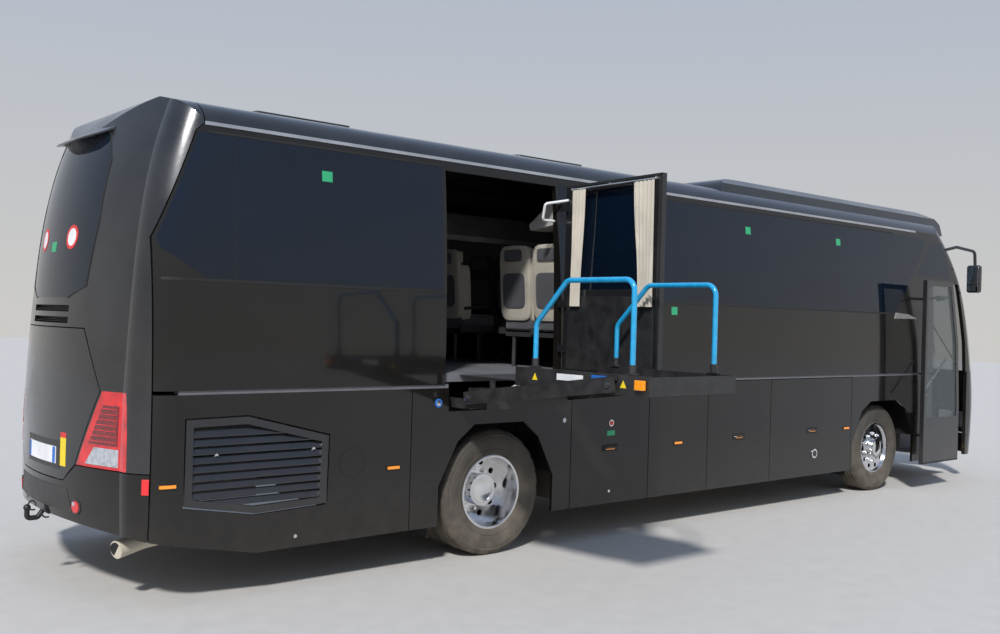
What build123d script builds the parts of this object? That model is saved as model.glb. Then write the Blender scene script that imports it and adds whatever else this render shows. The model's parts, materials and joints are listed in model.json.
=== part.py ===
from build123d import *
import copy
import math
import os

os.makedirs("parts", exist_ok=True)

# Touring coach with a wheelchair lift, in millimetres.
# Written with x forward from the rear axle, y to the left of the centre plane, z up from the ground.
# Every shape is drawn shifted so that the origin is the middle of the box's footprint.

# Overall sizes
wheelbase = 6060.0
rear_x = -3200.0
front_x = 8710.0
half_width = 1275.0
origin_x = 2710.0
origin_y = -931.0

# Levels
skirt_low = 310.0
skirt_top = 1385.0
belt = 1412.0
glass_low = 2150.0
glass_top = 3110.0
strip_z = 3176.0
floor_top = 1500.0
floor_thick = 70.0
hold_floor = 420.0
hold_sheet = 50.0

# Walls
wall = 45.0
skin = 28.0
glass_thick = 6.0
seam = 8.0

# Side joints, measured along x
rear_seam = -2880.0
panel_x1 = -880.0
door2_x0 = 820.0
door2_x1 = 1830.0
flap_x0 = 2700.0
flap_x1 = 3750.0
flap_x2 = 5330.0
left_flap_x = 2270.0
entry_x0 = 7235.0
entry_x1 = 8155.0
entry_low = 320.0
entry_top = 2560.0

# Wheels
tyre_r = 515.0
tyre_w = 295.0
rim_r = 292.0
rim_seat_r = 300.0
track_front = 1040.0
track_outer = 1075.0
track_inner = 730.0
kingpin_y = 900.0
arch_rear_half = 610.0
arch_front_half = 700.0
arch_top = 1090.0
wheelhouse_y = 480.0

# Wheelchair doorway and lift
way_x0 = -570.0
way_x1 = 620.0
way_top = 3090.0
slot_low = 1200.0
slot_top = 1430.0
lift_half = 450.0
arm_y0 = -1470.0
arm_z0 = 1320.0
arm_y1 = -2947.0
arm_z1 = 1520.0
link_rise = 45.0
link_shift = -20.0
arm_pin = 15.0
link_pin = 10.0
arm_in = 475.0
arm_out = 507.0
link_in = 453.0
link_out = 469.0
pin_end = 511.0
deck_y0 = -1960.0
deck_y1 = -3250.0
deck_z = 1480.0
deck_t = 26.0
kerb_top = 1590.0
kerb_in = 415.0
kerb_out = 447.0
rail_r = 19.0
rail_x = 425.0

# Entrance door
leaf_x0 = 6450.0
leaf_len = 900.0
leaf_y = -1564.0
leaf_t = 45.0
leaf_low = 332.0
leaf_top = 2548.0
door_arm = 450.0
pivot_x = 7290.0
pivot_y = -1170.0


def at(x, y, z):
    """Place given in the coach's own coordinates."""
    return Pos(x - origin_x, y - origin_y, z)


def pt(x, y, z):
    """Point given in the coach's own coordinates."""
    return (x - origin_x, y - origin_y, z)


def block(x0, x1, y0, y1, z0, z1):
    """Box between two corners."""
    size = Box(abs(x1 - x0), abs(y1 - y0), abs(z1 - z0))
    return at((x0 + x1) / 2, (y0 + y1) / 2, (z0 + z1) / 2) * size


def prism_xz(points, y0, y1):
    """Polygon in the xz plane, extruded along y."""
    wire = Polyline(*[pt(p[0], min(y0, y1), p[1]) for p in points], close=True)
    return extrude(make_face(wire), abs(y1 - y0), dir=(0, 1, 0))


def prism_yz(points, x0, x1):
    """Polygon in the yz plane, extruded along x."""
    wire = Polyline(*[pt(min(x0, x1), p[0], p[1]) for p in points], close=True)
    return extrude(make_face(wire), abs(x1 - x0), dir=(1, 0, 0))


def prism_xy(points, z0, z1):
    """Polygon in the xy plane, extruded along z."""
    wire = Polyline(*[pt(p[0], p[1], min(z0, z1)) for p in points], close=True)
    return extrude(make_face(wire), abs(z1 - z0), dir=(0, 0, 1))


def cyl_y(x, z, r, y0, y1):
    """Cylinder along y."""
    c = Cylinder(r, abs(y1 - y0))
    return at(x, (y0 + y1) / 2, z) * Rot(90, 0, 0) * c


def cyl_x(y, z, r, x0, x1):
    """Cylinder along x."""
    c = Cylinder(r, abs(x1 - x0))
    return at((x0 + x1) / 2, y, z) * Rot(0, 90, 0) * c


def cyl_z(x, y, r, z0, z1):
    """Cylinder along z."""
    c = Cylinder(r, abs(z1 - z0))
    return at(x, y, (z0 + z1) / 2) * c


def flip(shape):
    """The same piece on the other side of the centre plane."""
    return mirror(shape, Plane(origin=(0, -origin_y, 0), z_dir=(0, 1, 0)))


def across(shape):
    """The same piece on the other side of the rear axle's upright plane."""
    return mirror(shape, Plane(origin=(-origin_x, 0, 0), z_dir=(1, 0, 0)))


def tube(points, r, bend):
    """Round tube along a bent line."""
    line = FilletPolyline(*[pt(*p) for p in points], radius=bend)
    start = Plane(line @ 0, z_dir=line % 0)
    return sweep(start * Circle(r), path=line)


def save(name, shape):
    """Write a finished piece."""
    solids = shape.solids()
    whole = solids[0] if len(solids) == 1 else Compound(children=list(solids))
    whole.label = name
    export_step(whole, "parts/" + name + ".step")


# Outer form: plan outlines at several heights, z, rear x, front x, half width, rear and front corner
outline_rows = [
    (250.0, rear_x + 25, front_x - 60, half_width - 3, 250.0, 350.0),
    (800.0, rear_x + 4, front_x - 6, half_width, 250.0, 350.0),
    (1350.0, rear_x + 10, front_x - 38, half_width, 250.0, 350.0),
    (1900.0, rear_x + 38, front_x - 150, half_width - 5, 250.0, 350.0),
    (2450.0, rear_x + 87, front_x - 322, half_width - 25, 250.0, 360.0),
    (3000.0, rear_x + 190, front_x - 625, half_width - 66, 250.0, 430.0),
    (3550.0, rear_x + 380, front_x - 1060, half_width - 127, 250.0, 560.0),
]
roof_ends = [(-3120, 2900), (-2950, 3170), (-2780, 3345), (-2500, 3450), (-2000, 3500)]
roof_front = [(7000, 3520), (7380, 3470), (7720, 3345), (7960, 3150), (8190, 2880)]
rear_crown = 200.0
front_crown = 110.0


def outline(row, inset):
    """One plan outline of crowned ends, round corners and straight sides."""
    z, xr, xf, w, rr, rf = row
    xr = xr + inset
    xf = xf - inset
    w = w - inset
    rr = rr - inset
    rf = rf - inset
    c = math.sqrt(0.5)
    xr1 = xr + rear_crown
    xf1 = xf - front_crown
    corner = [
        (xr1, w - rr),
        (xr1 + rr - c * rr, w - rr + c * rr),
        (xr1 + rr, w),
        (xf1 - rf, w),
        (xf1 - rf + c * rf, w - rf + c * rf),
        (xf1, w - rf),
    ]
    a, b, d, e, f, g = [pt(p[0], -p[1], z) for p in corner]
    am, bm, dm, em, fm, gm = [pt(p[0], p[1], z) for p in corner]
    edges = [
        ThreePointArc(a, b, d),
        Line(d, e),
        ThreePointArc(e, f, g),
        ThreePointArc(g, pt(xf, 0, z), gm),
        ThreePointArc(gm, fm, em),
        Line(em, dm),
        ThreePointArc(dm, bm, am),
        ThreePointArc(am, pt(xr, 0, z), a),
    ]
    return make_face(Wire(edges))


def body(inset):
    """Closed form of the whole coach, drawn in by an inset."""
    form = loft([outline(row, inset) for row in outline_rows])
    t = inset
    low = 200.0
    x = -4000.0
    top = [
        ThreePointArc(pt(x, 1212 - t, 3120), pt(x, 1128 - t, 3272 - t), pt(x, 980 - t, 3342 - t)),
        ThreePointArc(pt(x, 980 - t, 3342 - t), pt(x, 0, 3465 - t), pt(x, t - 980, 3342 - t)),
        ThreePointArc(pt(x, t - 980, 3342 - t), pt(x, t - 1128, 3272 - t), pt(x, t - 1212, 3120)),
    ]
    rest = [(t - 1212, 3120), (-1500, 3120), (-1500, low), (1500, low), (1500, 3120), (1212 - t, 3120)]
    right = top + [Line(pt(x, p[0], p[1]), pt(x, q[0], q[1])) for p, q in zip(rest, rest[1:])]
    section = extrude(make_face(Wire(right)), 14000, dir=(1, 0, 0))
    y = -1600.0
    back = Spline(*[pt(p[0] + t, y, p[1] - t) for p in roof_ends])
    nose = Spline(*[pt(p[0] - t, y, p[1] - t) for p in roof_front])
    rest = Polyline(nose @ 1, pt(9300, y, 1500), pt(9300, y, 100), pt(-4000, y, 100), pt(-4000, y, 1500), back @ 0)
    side = extrude(make_face(Wire([back, Line(back @ 1, nose @ 0), nose] + rest.edges())), 3200, dir=(0, 1, 0))
    return (form & section) & side


def hull(t0, t1):
    """Hollow form between two insets."""
    return body(t0) - body(t1)


def fresh(shape):
    """Separate copy of a form, so that cuts in one piece leave the others as they are."""
    return copy.deepcopy(shape)


shell_form = hull(0.0, wall)
thin_form = hull(0.0, skin)
film_form = hull(0.0, glass_thick)
groove_form = hull(-20.0, glass_thick)
far = 1500.0

# Panes and clear openings of the side glazing, as x, z corners
pane_rear = [(-2555, glass_low), (-2840, 2330), (-2860, 2400), (-2600, glass_top), (-2343, glass_top), (-2343, glass_low)]
hole_rear = [(-2530, 2220), (-2770, 2370), (-2560, 3040), (-2390, 3040), (-2390, 2220)]
pane_front = [(6033, glass_low), (6033, glass_top), (6960, glass_top), (7120, 3045), (6680, 2590), (6300, glass_low)]
hole_front = [(6080, 2220), (6080, 3040), (6950, 3040), (7010, 3020), (6620, 2620), (6270, 2220)]
pane_quarter = [(6790, 2620), (7230, 3070), (7540, 3070), (7710, 2620)]
hole_quarter = [(6900, 2670), (7250, 3020), (7480, 3020), (7620, 2670)]


def rect(x0, x1, z0, z1):
    """Four corners of an upright rectangle."""
    return [(x0, z0), (x0, z1), (x1, z1), (x1, z0)]


right_panes = [
    pane_rear,
    rect(-2337, way_x0 - 30, glass_low, glass_top),
    rect(way_x1 + 30, 2577, glass_low, glass_top),
    rect(2583, 4317, glass_low, glass_top),
    rect(4323, 6027, glass_low, glass_top),
    pane_front,
    pane_quarter,
]
right_holes = [
    hole_rear,
    rect(-2290, way_x0 - 90, 2220, 3040),
    rect(way_x1 + 90, 2530, 2220, 3040),
    rect(2630, 4270, 2220, 3040),
    rect(4370, 5980, 2220, 3040),
    hole_front,
    hole_quarter,
]
left_panes = [
    pane_rear,
    rect(-2337, -603, glass_low, glass_top),
    rect(-597, 1197, glass_low, glass_top),
    rect(1203, 2577, glass_low, glass_top),
    rect(2583, 4317, glass_low, glass_top),
    rect(4323, 6027, glass_low, glass_top),
    pane_front,
    [(6850, 1750), (6850, 2540), (7740, 2540), (8020, 1750)],
]
left_holes = [
    hole_rear,
    rect(-2290, -650, 2220, 3040),
    rect(-550, 1150, 2220, 3040),
    rect(1250, 2530, 2220, 3040),
    rect(2630, 4270, 2220, 3040),
    rect(4370, 5980, 2220, 3040),
    hole_front,
    [(6910, 1810), (6910, 2480), (7690, 2480), (7940, 1810)],
]

# Upper side walls between the belt and the roof trim
pillar_low = 8240.0
pillar_mid = 8010.0
pillar_top = 7640.0
seam_top = -2560.0
side_zone = [(rear_seam + 4, belt), (rear_seam + 2, 2400), (-2611, 3125), (seam_top + 4, strip_z)]
side_zone = side_zone + [(pillar_top, strip_z), (pillar_mid, entry_top), (pillar_low, belt)]


def glazed_wall(panes, holes, cuts):
    """Upper wall of the right side with recesses for its panes; returns wall and glass."""
    zone = prism_xz(side_zone, -far, -1000)
    base = fresh(shell_form) & zone
    base = base - ([prism_xz(pts, -far, -1000) for pts in holes] + cuts)
    grooves = fresh(groove_form) & zone
    sheet = fresh(film_form) & zone
    tools = [prism_xz(pts, -far, -1000) for pts in panes]
    base = base - [grooves & t for t in tools]
    glass = Compound(children=[(sheet & t).solids()[0] for t in tools])
    return base, glass


entry_pts = [(entry_x0, entry_low - 20), (entry_x0, entry_top), (7915, entry_top), (8095, 1800), (entry_x1, 1000)]
entry_pts = entry_pts + [(entry_x1, entry_low - 20)]
entry_cut = prism_xz(entry_pts, -far, -1000)
way_cut = block(way_x0, way_x1, -far, -1000, belt - 100, way_top)
wall_r, glass_r = glazed_wall(right_panes, right_holes, [entry_cut, way_cut])
save("side_wall_right", wall_r)
wall_l, glass_l = glazed_wall(left_panes, left_holes, [])
save("side_wall_left", flip(wall_l))
save("side_glass", Compound(children=[glass_r, flip(glass_l)]))

# Roof skin, raised front fairing and rain trim
save("roof_panel", fresh(shell_form) & block(seam_top + 4, 9000, -far, far, strip_z, 3700))
fairing_sec = [(-1040, 3200), (-985, 3420), (-840, 3500), (-600, 3555), (0, 3600)]
fairing_sec = fairing_sec + [(600, 3555), (840, 3500), (985, 3420), (1040, 3200)]
fairing_side = [(3150, 3300), (3250, 3440), (3600, 3500), (4000, 3560), (4600, 3590)]
fairing_side = fairing_side + [(6400, 3600), (7100, 3560), (7600, 3480), (7850, 3350)]
fairing_line = Spline(*[pt(p[0], -1100, p[1]) for p in fairing_side])
fairing_base = Polyline(pt(7850, -1100, 3350), pt(7850, -1100, 3200), pt(3150, -1100, 3200), pt(3150, -1100, 3300))
fairing_form = extrude(make_face(Wire([fairing_line] + fairing_base.edges())), 2200, dir=(0, 1, 0))
fairing = prism_yz(fairing_sec, 3150, 7850) & fairing_form
save("roof_fairing", fairing - body(0.0))
trim = hull(-7.0, 0.0) & block(-2560, 6840, -far, far, strip_z - 12, strip_z + 12)
save("roof_trim", trim)

# Windscreen, front mask, bumper and headlamps
screen_zone = [(pillar_low + 8, belt), (pillar_mid + 8, entry_top), (pillar_top + 8, strip_z), (9200, strip_z), (9200, belt)]
save("windscreen", hull(0.0, 9.0) & prism_xz(screen_zone, -far, far))
mask_x = entry_x1 + seam
lamp_z0 = 640.0
lamp_z1 = 850.0
bumper_top = 560.0
lamp_zone = block(mask_x + 60, 9000, -1262, -700, lamp_z0, lamp_z1)
lamp_r = hull(0.0, 60.0) & lamp_zone
mask = fresh(shell_form) & block(mask_x, 9000, -far, far, bumper_top + seam, belt)
mask = mask - [lamp_zone, flip(lamp_zone)]
bumper = fresh(shell_form) & block(mask_x, 9000, -far, far, skirt_low, bumper_top)
save("front_mask", Compound(children=[mask, bumper]))
save("headlamps", Compound(children=[lamp_r, flip(lamp_r)]))

# Rear end shell, window, lid, bumper and lamps
rear_low_zone = [(-2884, 448), (-3600, 590), (-3600, 3700), (seam_top - 4, 3700), (seam_top - 4, strip_z)]
rear_low_zone = rear_low_zone + [(-2619, 3125), (rear_seam - 6, 2400), (-2884, belt)]
rear_shell = fresh(shell_form) & prism_xz(rear_low_zone, -far, far)
bumper_z = 757.0
bumper_side = 877.0
lid_z1 = 1790.0
lid_pts = [(-590, lid_z1), (-812, 1390), (-575, 885), (-430, bumper_z + seam)]
lamp_edge = [(-838, 1390), (-600, 885)]
tail_x = -2985.0
tail_z0 = 885.0
tail_z1 = 1390.0


def rear_zone(points, grow):
    """Block behind the rear end over a symmetric polygon given by its right half in y, z."""
    half = [(p[0] - grow, p[1]) for p in points]
    return prism_yz(half + [(-p[0], p[1]) for p in reversed(half)], -3600, -2900)


lid_zone = rear_zone(lid_pts, 0.0)
lid_gap = rear_zone([(lid_pts[0][0], lid_z1 + seam)] + lid_pts[1:3] + [(-430, bumper_z)], 9.0)
tail_zone = prism_yz([(-far, tail_z0), (-far, tail_z1)] + lamp_edge, -3600, tail_x)
pane_pts = [(-330, 2000), (-560, 2080), (-606, 2500), (-585, 2950), (-470, 3150), (-300, 3185)]
hole_pts = [(-320, 2060), (-500, 2130), (-546, 2500), (-525, 2930), (-430, 3090), (-300, 3120)]
rear_pane = rear_zone(pane_pts, 0.0)
rear_hole = rear_zone(hole_pts, 0.0)
rear_glass = fresh(film_form) & rear_pane
rear_groove = fresh(groove_form) & rear_pane
bumper_pts = [(-far, bumper_side), (-590, bumper_side), (-430, bumper_z)]
bumper_pts = bumper_pts + [(430, bumper_z), (590, bumper_side), (far, bumper_side), (far, 200), (-far, 200)]
bumper_form = prism_yz(bumper_pts, -3600, rear_seam - seam / 2)
above = prism_yz([(p[0], p[1] + seam) for p in bumper_pts[:6]] + [(far, 3700), (-far, 3700)], -3600, -2300)
rear_body = fresh(rear_shell) & above
rear_body = rear_body - [lid_gap, tail_zone, flip(tail_zone), rear_hole, rear_groove]
for z in (1925.0, 1845.0):
    rear_body = rear_body - block(-3600, -3060, -370, 370, z - 22, z + 22)
ring_pts = [(-2920, belt), (-2922, 2395), (-2655, 3130), (-2600, 3400), (-2515, 3400), (-2572, 3120), (-2840, 2390), (-2840, belt)]
ring = hull(wall, wall + 14) & prism_xz(ring_pts, -far, far)
save("rear_body", Compound(children=[rear_body, ring]))
save("rear_window", rear_glass)
rear_bumper = fresh(rear_shell) & bumper_form
save("rear_bumper", rear_bumper)
tail_r = hull(0.0, 60.0) & tail_zone
save("tail_lamps", Compound(children=[tail_r, flip(tail_r)]))
save("engine_lid", fresh(thin_form) & lid_zone)

# Lower side panels with wheel arches; the low edge rises behind the rear wheels
skirt_zone = [(rear_seam + 4, 445), (-2150, 300), (-1000, skirt_low), (mask_x - seam, skirt_low)]
skirt_zone = skirt_zone + [(mask_x - seam, skirt_top), (rear_seam + 4, skirt_top)]
arch_rear = [(-arch_rear_half, 0), (-arch_rear_half, 620), (-430, 960), (-260, arch_top), (260, arch_top)]
arch_rear = arch_rear + [(430, 960), (arch_rear_half, 620), (arch_rear_half, 0)]
af = wheelbase
arch_front = [(af - arch_front_half, 0), (af - arch_front_half, 640), (af - 500, 980), (af - 300, arch_top)]
arch_front = arch_front + [(af + 300, arch_top), (af + 500, 980), (af + arch_front_half, 640), (af + arch_front_half, 0)]
vent_pts = [(-2665, 660), (-2665, 1222), (-2230, 1230), (-1600, 1070), (-1610, 590), (-2160, 570)]
vent_gap = [(-2675, 650), (-2675, 1233), (-2228, 1241), (-1590, 1079), (-1600, 580), (-2162, 559)]


def strip_x(x):
    """Narrow upright cut at a panel joint."""
    return block(x - seam / 2, x + seam / 2, -far, -1000, 200, 1500)


thin_side = fresh(thin_form) & prism_xz(skirt_zone, -far, -1000)


def side_skirt(cuts, joints):
    """Fixed lower panels of the right side."""
    tools = [prism_xz(arch_rear, -far, -1000), prism_xz(arch_front, -far, -1000)]
    return fresh(thin_side) - (tools + cuts + [strip_x(x) for x in joints])


def flap(x0, x1):
    """Top hinged luggage flap between two panel joints."""
    return fresh(thin_side) & block(x0 + seam / 2, x1 - seam / 2, -far, -1000, skirt_low, skirt_top - 7)


entry_skirt = block(entry_x0 - seam, mask_x, -far, -1000, 200, 1500)
slot_cut = block(-530, 530, -far, -1000, slot_low, 1500)
door2_cut = block(door2_x0, door2_x1, -far, -1000, 200, 1500)
flaps_cut = block(flap_x0, flap_x2, -far, -1000, 200, 1500)
vent_cut = prism_xz(vent_gap, -far, -1000)
skirt_r = side_skirt([entry_skirt, slot_cut, door2_cut, flaps_cut, vent_cut], [panel_x1, door2_x0, door2_x1, flap_x0, flap_x2])
save("skirt_right", skirt_r)
left_cut = block(door2_x0, flap_x2, -far, -1000, 200, 1500)
skirt_l = side_skirt([left_cut, vent_cut], [panel_x1, door2_x0, flap_x2, 6900.0])
save("skirt_left", flip(skirt_l))
save("middle_door", fresh(thin_side) & block(door2_x0 + 4, door2_x1 - 4, -far, -1000, skirt_low, skirt_top))


def louvred(points):
    """Radiator flap: a frame with a row of slanted slats across its opening."""
    whole = fresh(thin_side) & prism_xz(points, -far, -1000)
    inner = [(-2615, 700), (-2615, 1172), (-2235, 1180), (-1655, 1030), (-1665, 635), (-2165, 620)]
    out = whole - prism_xz(inner, -far, -1000)
    window = prism_xz(inner, -far, -1000)
    for k in range(vent_slats):
        z = 640.0 + 58.0 * k
        slat = prism_yz([(-1269, z), (-1249, z + 40), (-1249, z + 47), (-1269, z + 7)], -2700, -1500)
        out = out + (slat & window)
    return out


vent_slats = 9
vent_r = louvred(vent_pts)
save("radiator_flap_right", vent_r)
save("radiator_flap_left", flip(vent_r))
save("luggage_flap_right_1", flap(flap_x0, flap_x1))
save("luggage_flap_right_2", flap(flap_x1, flap_x2))
save("luggage_flap_left_1", flip(flap(door2_x0, left_flap_x)))
save("luggage_flap_left_2", flip(flap(left_flap_x, flap_x1)))
save("luggage_flap_left_3", flip(flap(flap_x1, flap_x2)))

# Floors and frame
inner_form = body(wall)
ringed_form = body(wall + 14)
floor_rear = -2830.0
passenger_floor = fresh(inner_form) & block(floor_rear, 6900, -far, far, floor_top - floor_thick, floor_top)
waist = hull(10.0, 88.0) & block(-2720, 6900, -far, far, skirt_top, belt)
waist = waist - slot_cut
for s in (-1, 1):
    tongue = fresh(ringed_form) & block(-3300, floor_rear, s * 860, s * far, floor_top - floor_thick, floor_top)
    ledge = block(-2700, way_x0 - 20, s * 1150, s * 1210, belt, floor_top - floor_thick)
    ledge = ledge + block(way_x1 + 20, 6900, s * 1150, s * 1210, belt, floor_top - floor_thick)
    passenger_floor = passenger_floor + tongue + ledge
save("passenger_floor", Compound(children=[passenger_floor, waist]))
deck_low = floor_top - floor_thick
frame_y0 = 380.0
frame_y1 = 460.0
hold_x0 = 780.0
hold_x1 = 5320.0
hold_y = half_width - 48.0
house_y = half_width - skin - 1.5
plate_y = 1145.0
under = block(hold_x0, hold_x1, -hold_y, hold_y, hold_floor - hold_sheet, hold_floor)
under = under + block(hold_x0, hold_x0 + 40, -plate_y, plate_y, hold_floor, deck_low)
under = under + block(hold_x1 - 40, hold_x1, -plate_y, plate_y, hold_floor, deck_low)
for s in (-1, 1):
    under = under + block(-2860, hold_x0, s * frame_y0, s * frame_y1, 700, 800)
    under = under + block(hold_x1, 7150 if s < 0 else 8440, s * frame_y0, s * frame_y1, 700, 800)
for x in (-2860, -1560, -760, 700):
    under = under + block(x, x + 60, -frame_y1, frame_y1, 800, deck_low)
for x in (5400, 6760):
    under = under + block(x, x + 60, -frame_y1, frame_y1, 800, deck_low)
under = under + block(8390, 8450, -620, 620, 520, 800)
under = under + (fresh(inner_form) & block(8440, 8900, -620, 620, 520, 620))
under = under + (fresh(inner_form) & block(-3600, -2850, -frame_y1, frame_y1, 700, 745))
save("underframe", under)
save("engine_block", block(-2780, -1700, -380, 380, 520, 1260))

# Entrance steps and driver's platform
cab_plan = [(6960, -330), (6960, 1300), (8140, 1300), (8160, 1150), (8250, 1050), (8380, 700), (8380, -330)]
cab = body(skin) & prism_xy(cab_plan, 900, 950)
cab = cab + block(entry_x0 - 30, 8130, -1150, -330, 360, 400)
cab = cab + block(entry_x0 - 30, 8130, -870, -330, 400, 660)
cab = cab + block(entry_x0 - 30, 8130, -600, -330, 660, 900)
cab = cab + block(6900, 6960, -1215, 1215, 900, deck_low)
dash_pts = [(8050, 950), (8350, 950), (8380, 1440), (8230, 1520), (8080, 1480)]
dash = prism_xz(dash_pts, -450, 930)
wheel_pos = at(7900, 620, 1560) * Rot(0, -30, 0)
steer = wheel_pos * Torus(220, 16) + wheel_pos * Box(400, 40, 20) + wheel_pos * Box(40, 400, 20)
column = wheel_pos * Pos(0, 0, -150) * Cylinder(30, 290)
save("dashboard", Compound(children=[dash, (steer + column) - dash]))
cab_seat = block(7150, 7620, 390, 850, 950, 1430) + block(7100, 7220, 390, 850, 1430, 2180)
save("driver_seat", cab_seat)

# Wheelhouses
house_t = 10.0
houses = None
for s in (-1, 1):
    r = block(-640, 640, s * 540, s * house_y, arch_top + 10, arch_top + 10 + house_t)
    r = r + block(-650, -640, s * 540, s * house_y, 640, arch_top + 10 + house_t)
    r = r + block(640, 650, s * 540, s * house_y, 640, arch_top + 10 + house_t)
    f = block(af - 720, af + 720, s * wheelhouse_y, s * house_y, arch_top + 10, arch_top + 10 + house_t)
    f = f + block(af - 730, af - 720, s * wheelhouse_y, s * house_y, 640, arch_top + 10 + house_t)
    f = f + block(af + 720, af + 730, s * wheelhouse_y, s * house_y, 640, arch_top + 10 + house_t)
    houses = r + f if houses is None else houses + r + f
save("wheelhouses", houses)

# Passenger seats, one row of pairs on each side, and overhead racks
seat_pts = [(0, floor_top), (0, 1900), (-40, 2560), (60, 2600), (110, 2560), (130, 1980), (480, 1960), (500, 1860), (400, 1840), (400, floor_top)]
right_rows = [-2350, -1550, 800, 1620, 2440, 3260, 4080, 4900, 5720]
left_rows = [-2350, -1550, -750, 50, 800, 1620, 2440, 3260, 4080, 4900, 5720]


def seat_rows(rows):
    """Seat pairs of the right side at the given x positions."""
    out = []
    for x in rows:
        out.append(prism_xz([(x + p[0], p[1]) for p in seat_pts], -1190, -300))
    return Compound(children=out)


save("passenger_seats", Compound(children=[seat_rows(right_rows), flip(seat_rows(left_rows))]))
rack = [(-1260, 2800), (-760, 2740), (-740, 2790), (-1150, 3060), (-1260, 3090)]
rack_r = prism_yz(rack, -2500, way_x0 - 60) + prism_yz(rack, way_x1 + 120, 6300)
rack_l = flip(prism_yz(rack, -2500, 6300))
save("luggage_racks", Compound(children=[inner_form & t for t in rack_r.solids() + rack_l.solids()]))

# Axles and steering knuckles
axle_z = tyre_r
pin_r = 25.0
run = 0.05
spindle_r = 45.0
boss_r = 62.0
boss_z0 = 430.0
boss_z1 = 540.0
front_axle = block(af - 50, af + 50, -kingpin_y + 20, kingpin_y - 20, 445, 525)
for s in (-1, 1):
    front_axle = front_axle + cyl_z(af, s * kingpin_y, boss_r, boss_z0, boss_z1)
    front_axle = front_axle + cyl_z(af - 0, s * 420, 90, 525, 700)
for s in (-1, 1):
    front_axle = front_axle - cyl_z(af, s * kingpin_y, pin_r + run, boss_z0 - 5, boss_z1 + 5)
save("front_axle", front_axle)
kn = cyl_z(af, -kingpin_y, pin_r, 390, 600)
kn = kn + block(af - 40, af + 40, -1010, -kingpin_y + 30, boss_z1 + 12, 600)
kn = kn + block(af - 40, af + 40, -1010, -kingpin_y + 30, 390, boss_z0 - 12)
kn = kn + block(af - 55, af + 55, -1010, -975, 390, 600)
kn = kn + cyl_y(af, axle_z, spindle_r, -1150, -1000)
save("knuckle_right", kn)
save("knuckle_left", flip(kn))
rear_axle = cyl_y(0, axle_z, 80, -560, 560) + cyl_y(0, axle_z, 60, -960, 960)
rear_axle = rear_axle + cyl_y(0, axle_z, 210, -150, 150) + cyl_x(0, axle_z, 60, -420, 0)
for s in (-1, 1):
    rear_axle = rear_axle + block(-60, 60, s * frame_y0, s * frame_y1, axle_z + 60, 700)
save("rear_axle", rear_axle)


def ring_y(x, z, r0, r1, y0, y1):
    """Ring about a y axis."""
    return cyl_y(x, z, r1, y0, y1) - cyl_y(x, z, r0, y0 - 1, y1 + 1)


def tyre(x, yc):
    """Tyre as a turned profile with rounded shoulders."""
    h = tyre_w / 2
    face = [(rim_seat_r, -h + 30), (415, -h), (480, -h + 8), (tyre_r, -h + 48)]
    face = face + [(tyre_r, h - 48), (480, h - 8), (415, h), (rim_seat_r, h - 30)]
    wire = Polyline(*[(p[0], p[1], 0) for p in face], close=True)
    turned = revolve(make_face(wire), Axis.Y, 360)
    return at(x, yc, axle_z) * turned


def bolt_holes(x, y0, y1, n, radius, hole):
    """Round holes on a circle about the wheel's axis."""
    out = None
    for k in range(n):
        a = 2 * math.pi * k / n
        c = cyl_y(x + radius * math.cos(a), axle_z + radius * math.sin(a), hole, y0, y1)
        out = c if out is None else out + c
    return out


hub_hole = spindle_r + run
front_rim = ring_y(af, axle_z, 284, rim_seat_r, -track_front - 118, -track_front + 118)
front_rim = front_rim + ring_y(af, axle_z, 90, 290, -track_front - 96, -track_front - 82)
front_rim = front_rim - bolt_holes(af, -track_front - 130, -track_front - 60, 10, 225, 26)
front_rim = front_rim + ring_y(af, axle_z, hub_hole, 130, -1146, -1022)
front_rim = front_rim + cyl_y(af, axle_z, 110, -1190, -1155)
front_rim = front_rim + ring_y(af, axle_z, 60, 110, -1160, -1140)
save("front_rim_right", front_rim)
save("front_rim_left", flip(front_rim))
save("front_tyre_right", tyre(af, -track_front))
save("front_tyre_left", flip(tyre(af, -track_front)))
rear_hub = 60.0 + run
mid = (track_outer + track_inner) / 2
rear_rim = ring_y(0, axle_z, 284, rim_seat_r, -track_outer - 118, -track_outer + 118)
rear_rim = rear_rim + ring_y(0, axle_z, 284, rim_seat_r, -track_inner - 118, -track_inner + 118)
rear_rim = rear_rim + ring_y(0, axle_z, 130, rim_seat_r, -mid - 60, -mid - 42)
rear_rim = rear_rim + ring_y(0, axle_z, 130, rim_seat_r, -mid + 42, -mid + 60)
rear_rim = rear_rim + ring_y(0, axle_z, 130, 200, -mid - 60, -mid + 60)
rear_rim = rear_rim - bolt_holes(0, -mid - 70, -mid + 70, 10, 225, 26)
rear_rim = rear_rim + ring_y(0, axle_z, rear_hub, 130, -960, -mid + 60)
rear_rim = rear_rim + cyl_y(0, axle_z, 130, -1080, -970) + ring_y(0, axle_z, 70, 130, -980, -950)
save("rear_rims_right", rear_rim)
save("rear_rims_left", flip(rear_rim))
rear_tyres = Compound(children=[tyre(0, -track_outer), tyre(0, -track_inner)])
save("rear_tyres_right", rear_tyres)
save("rear_tyres_left", flip(rear_tyres))

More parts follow.
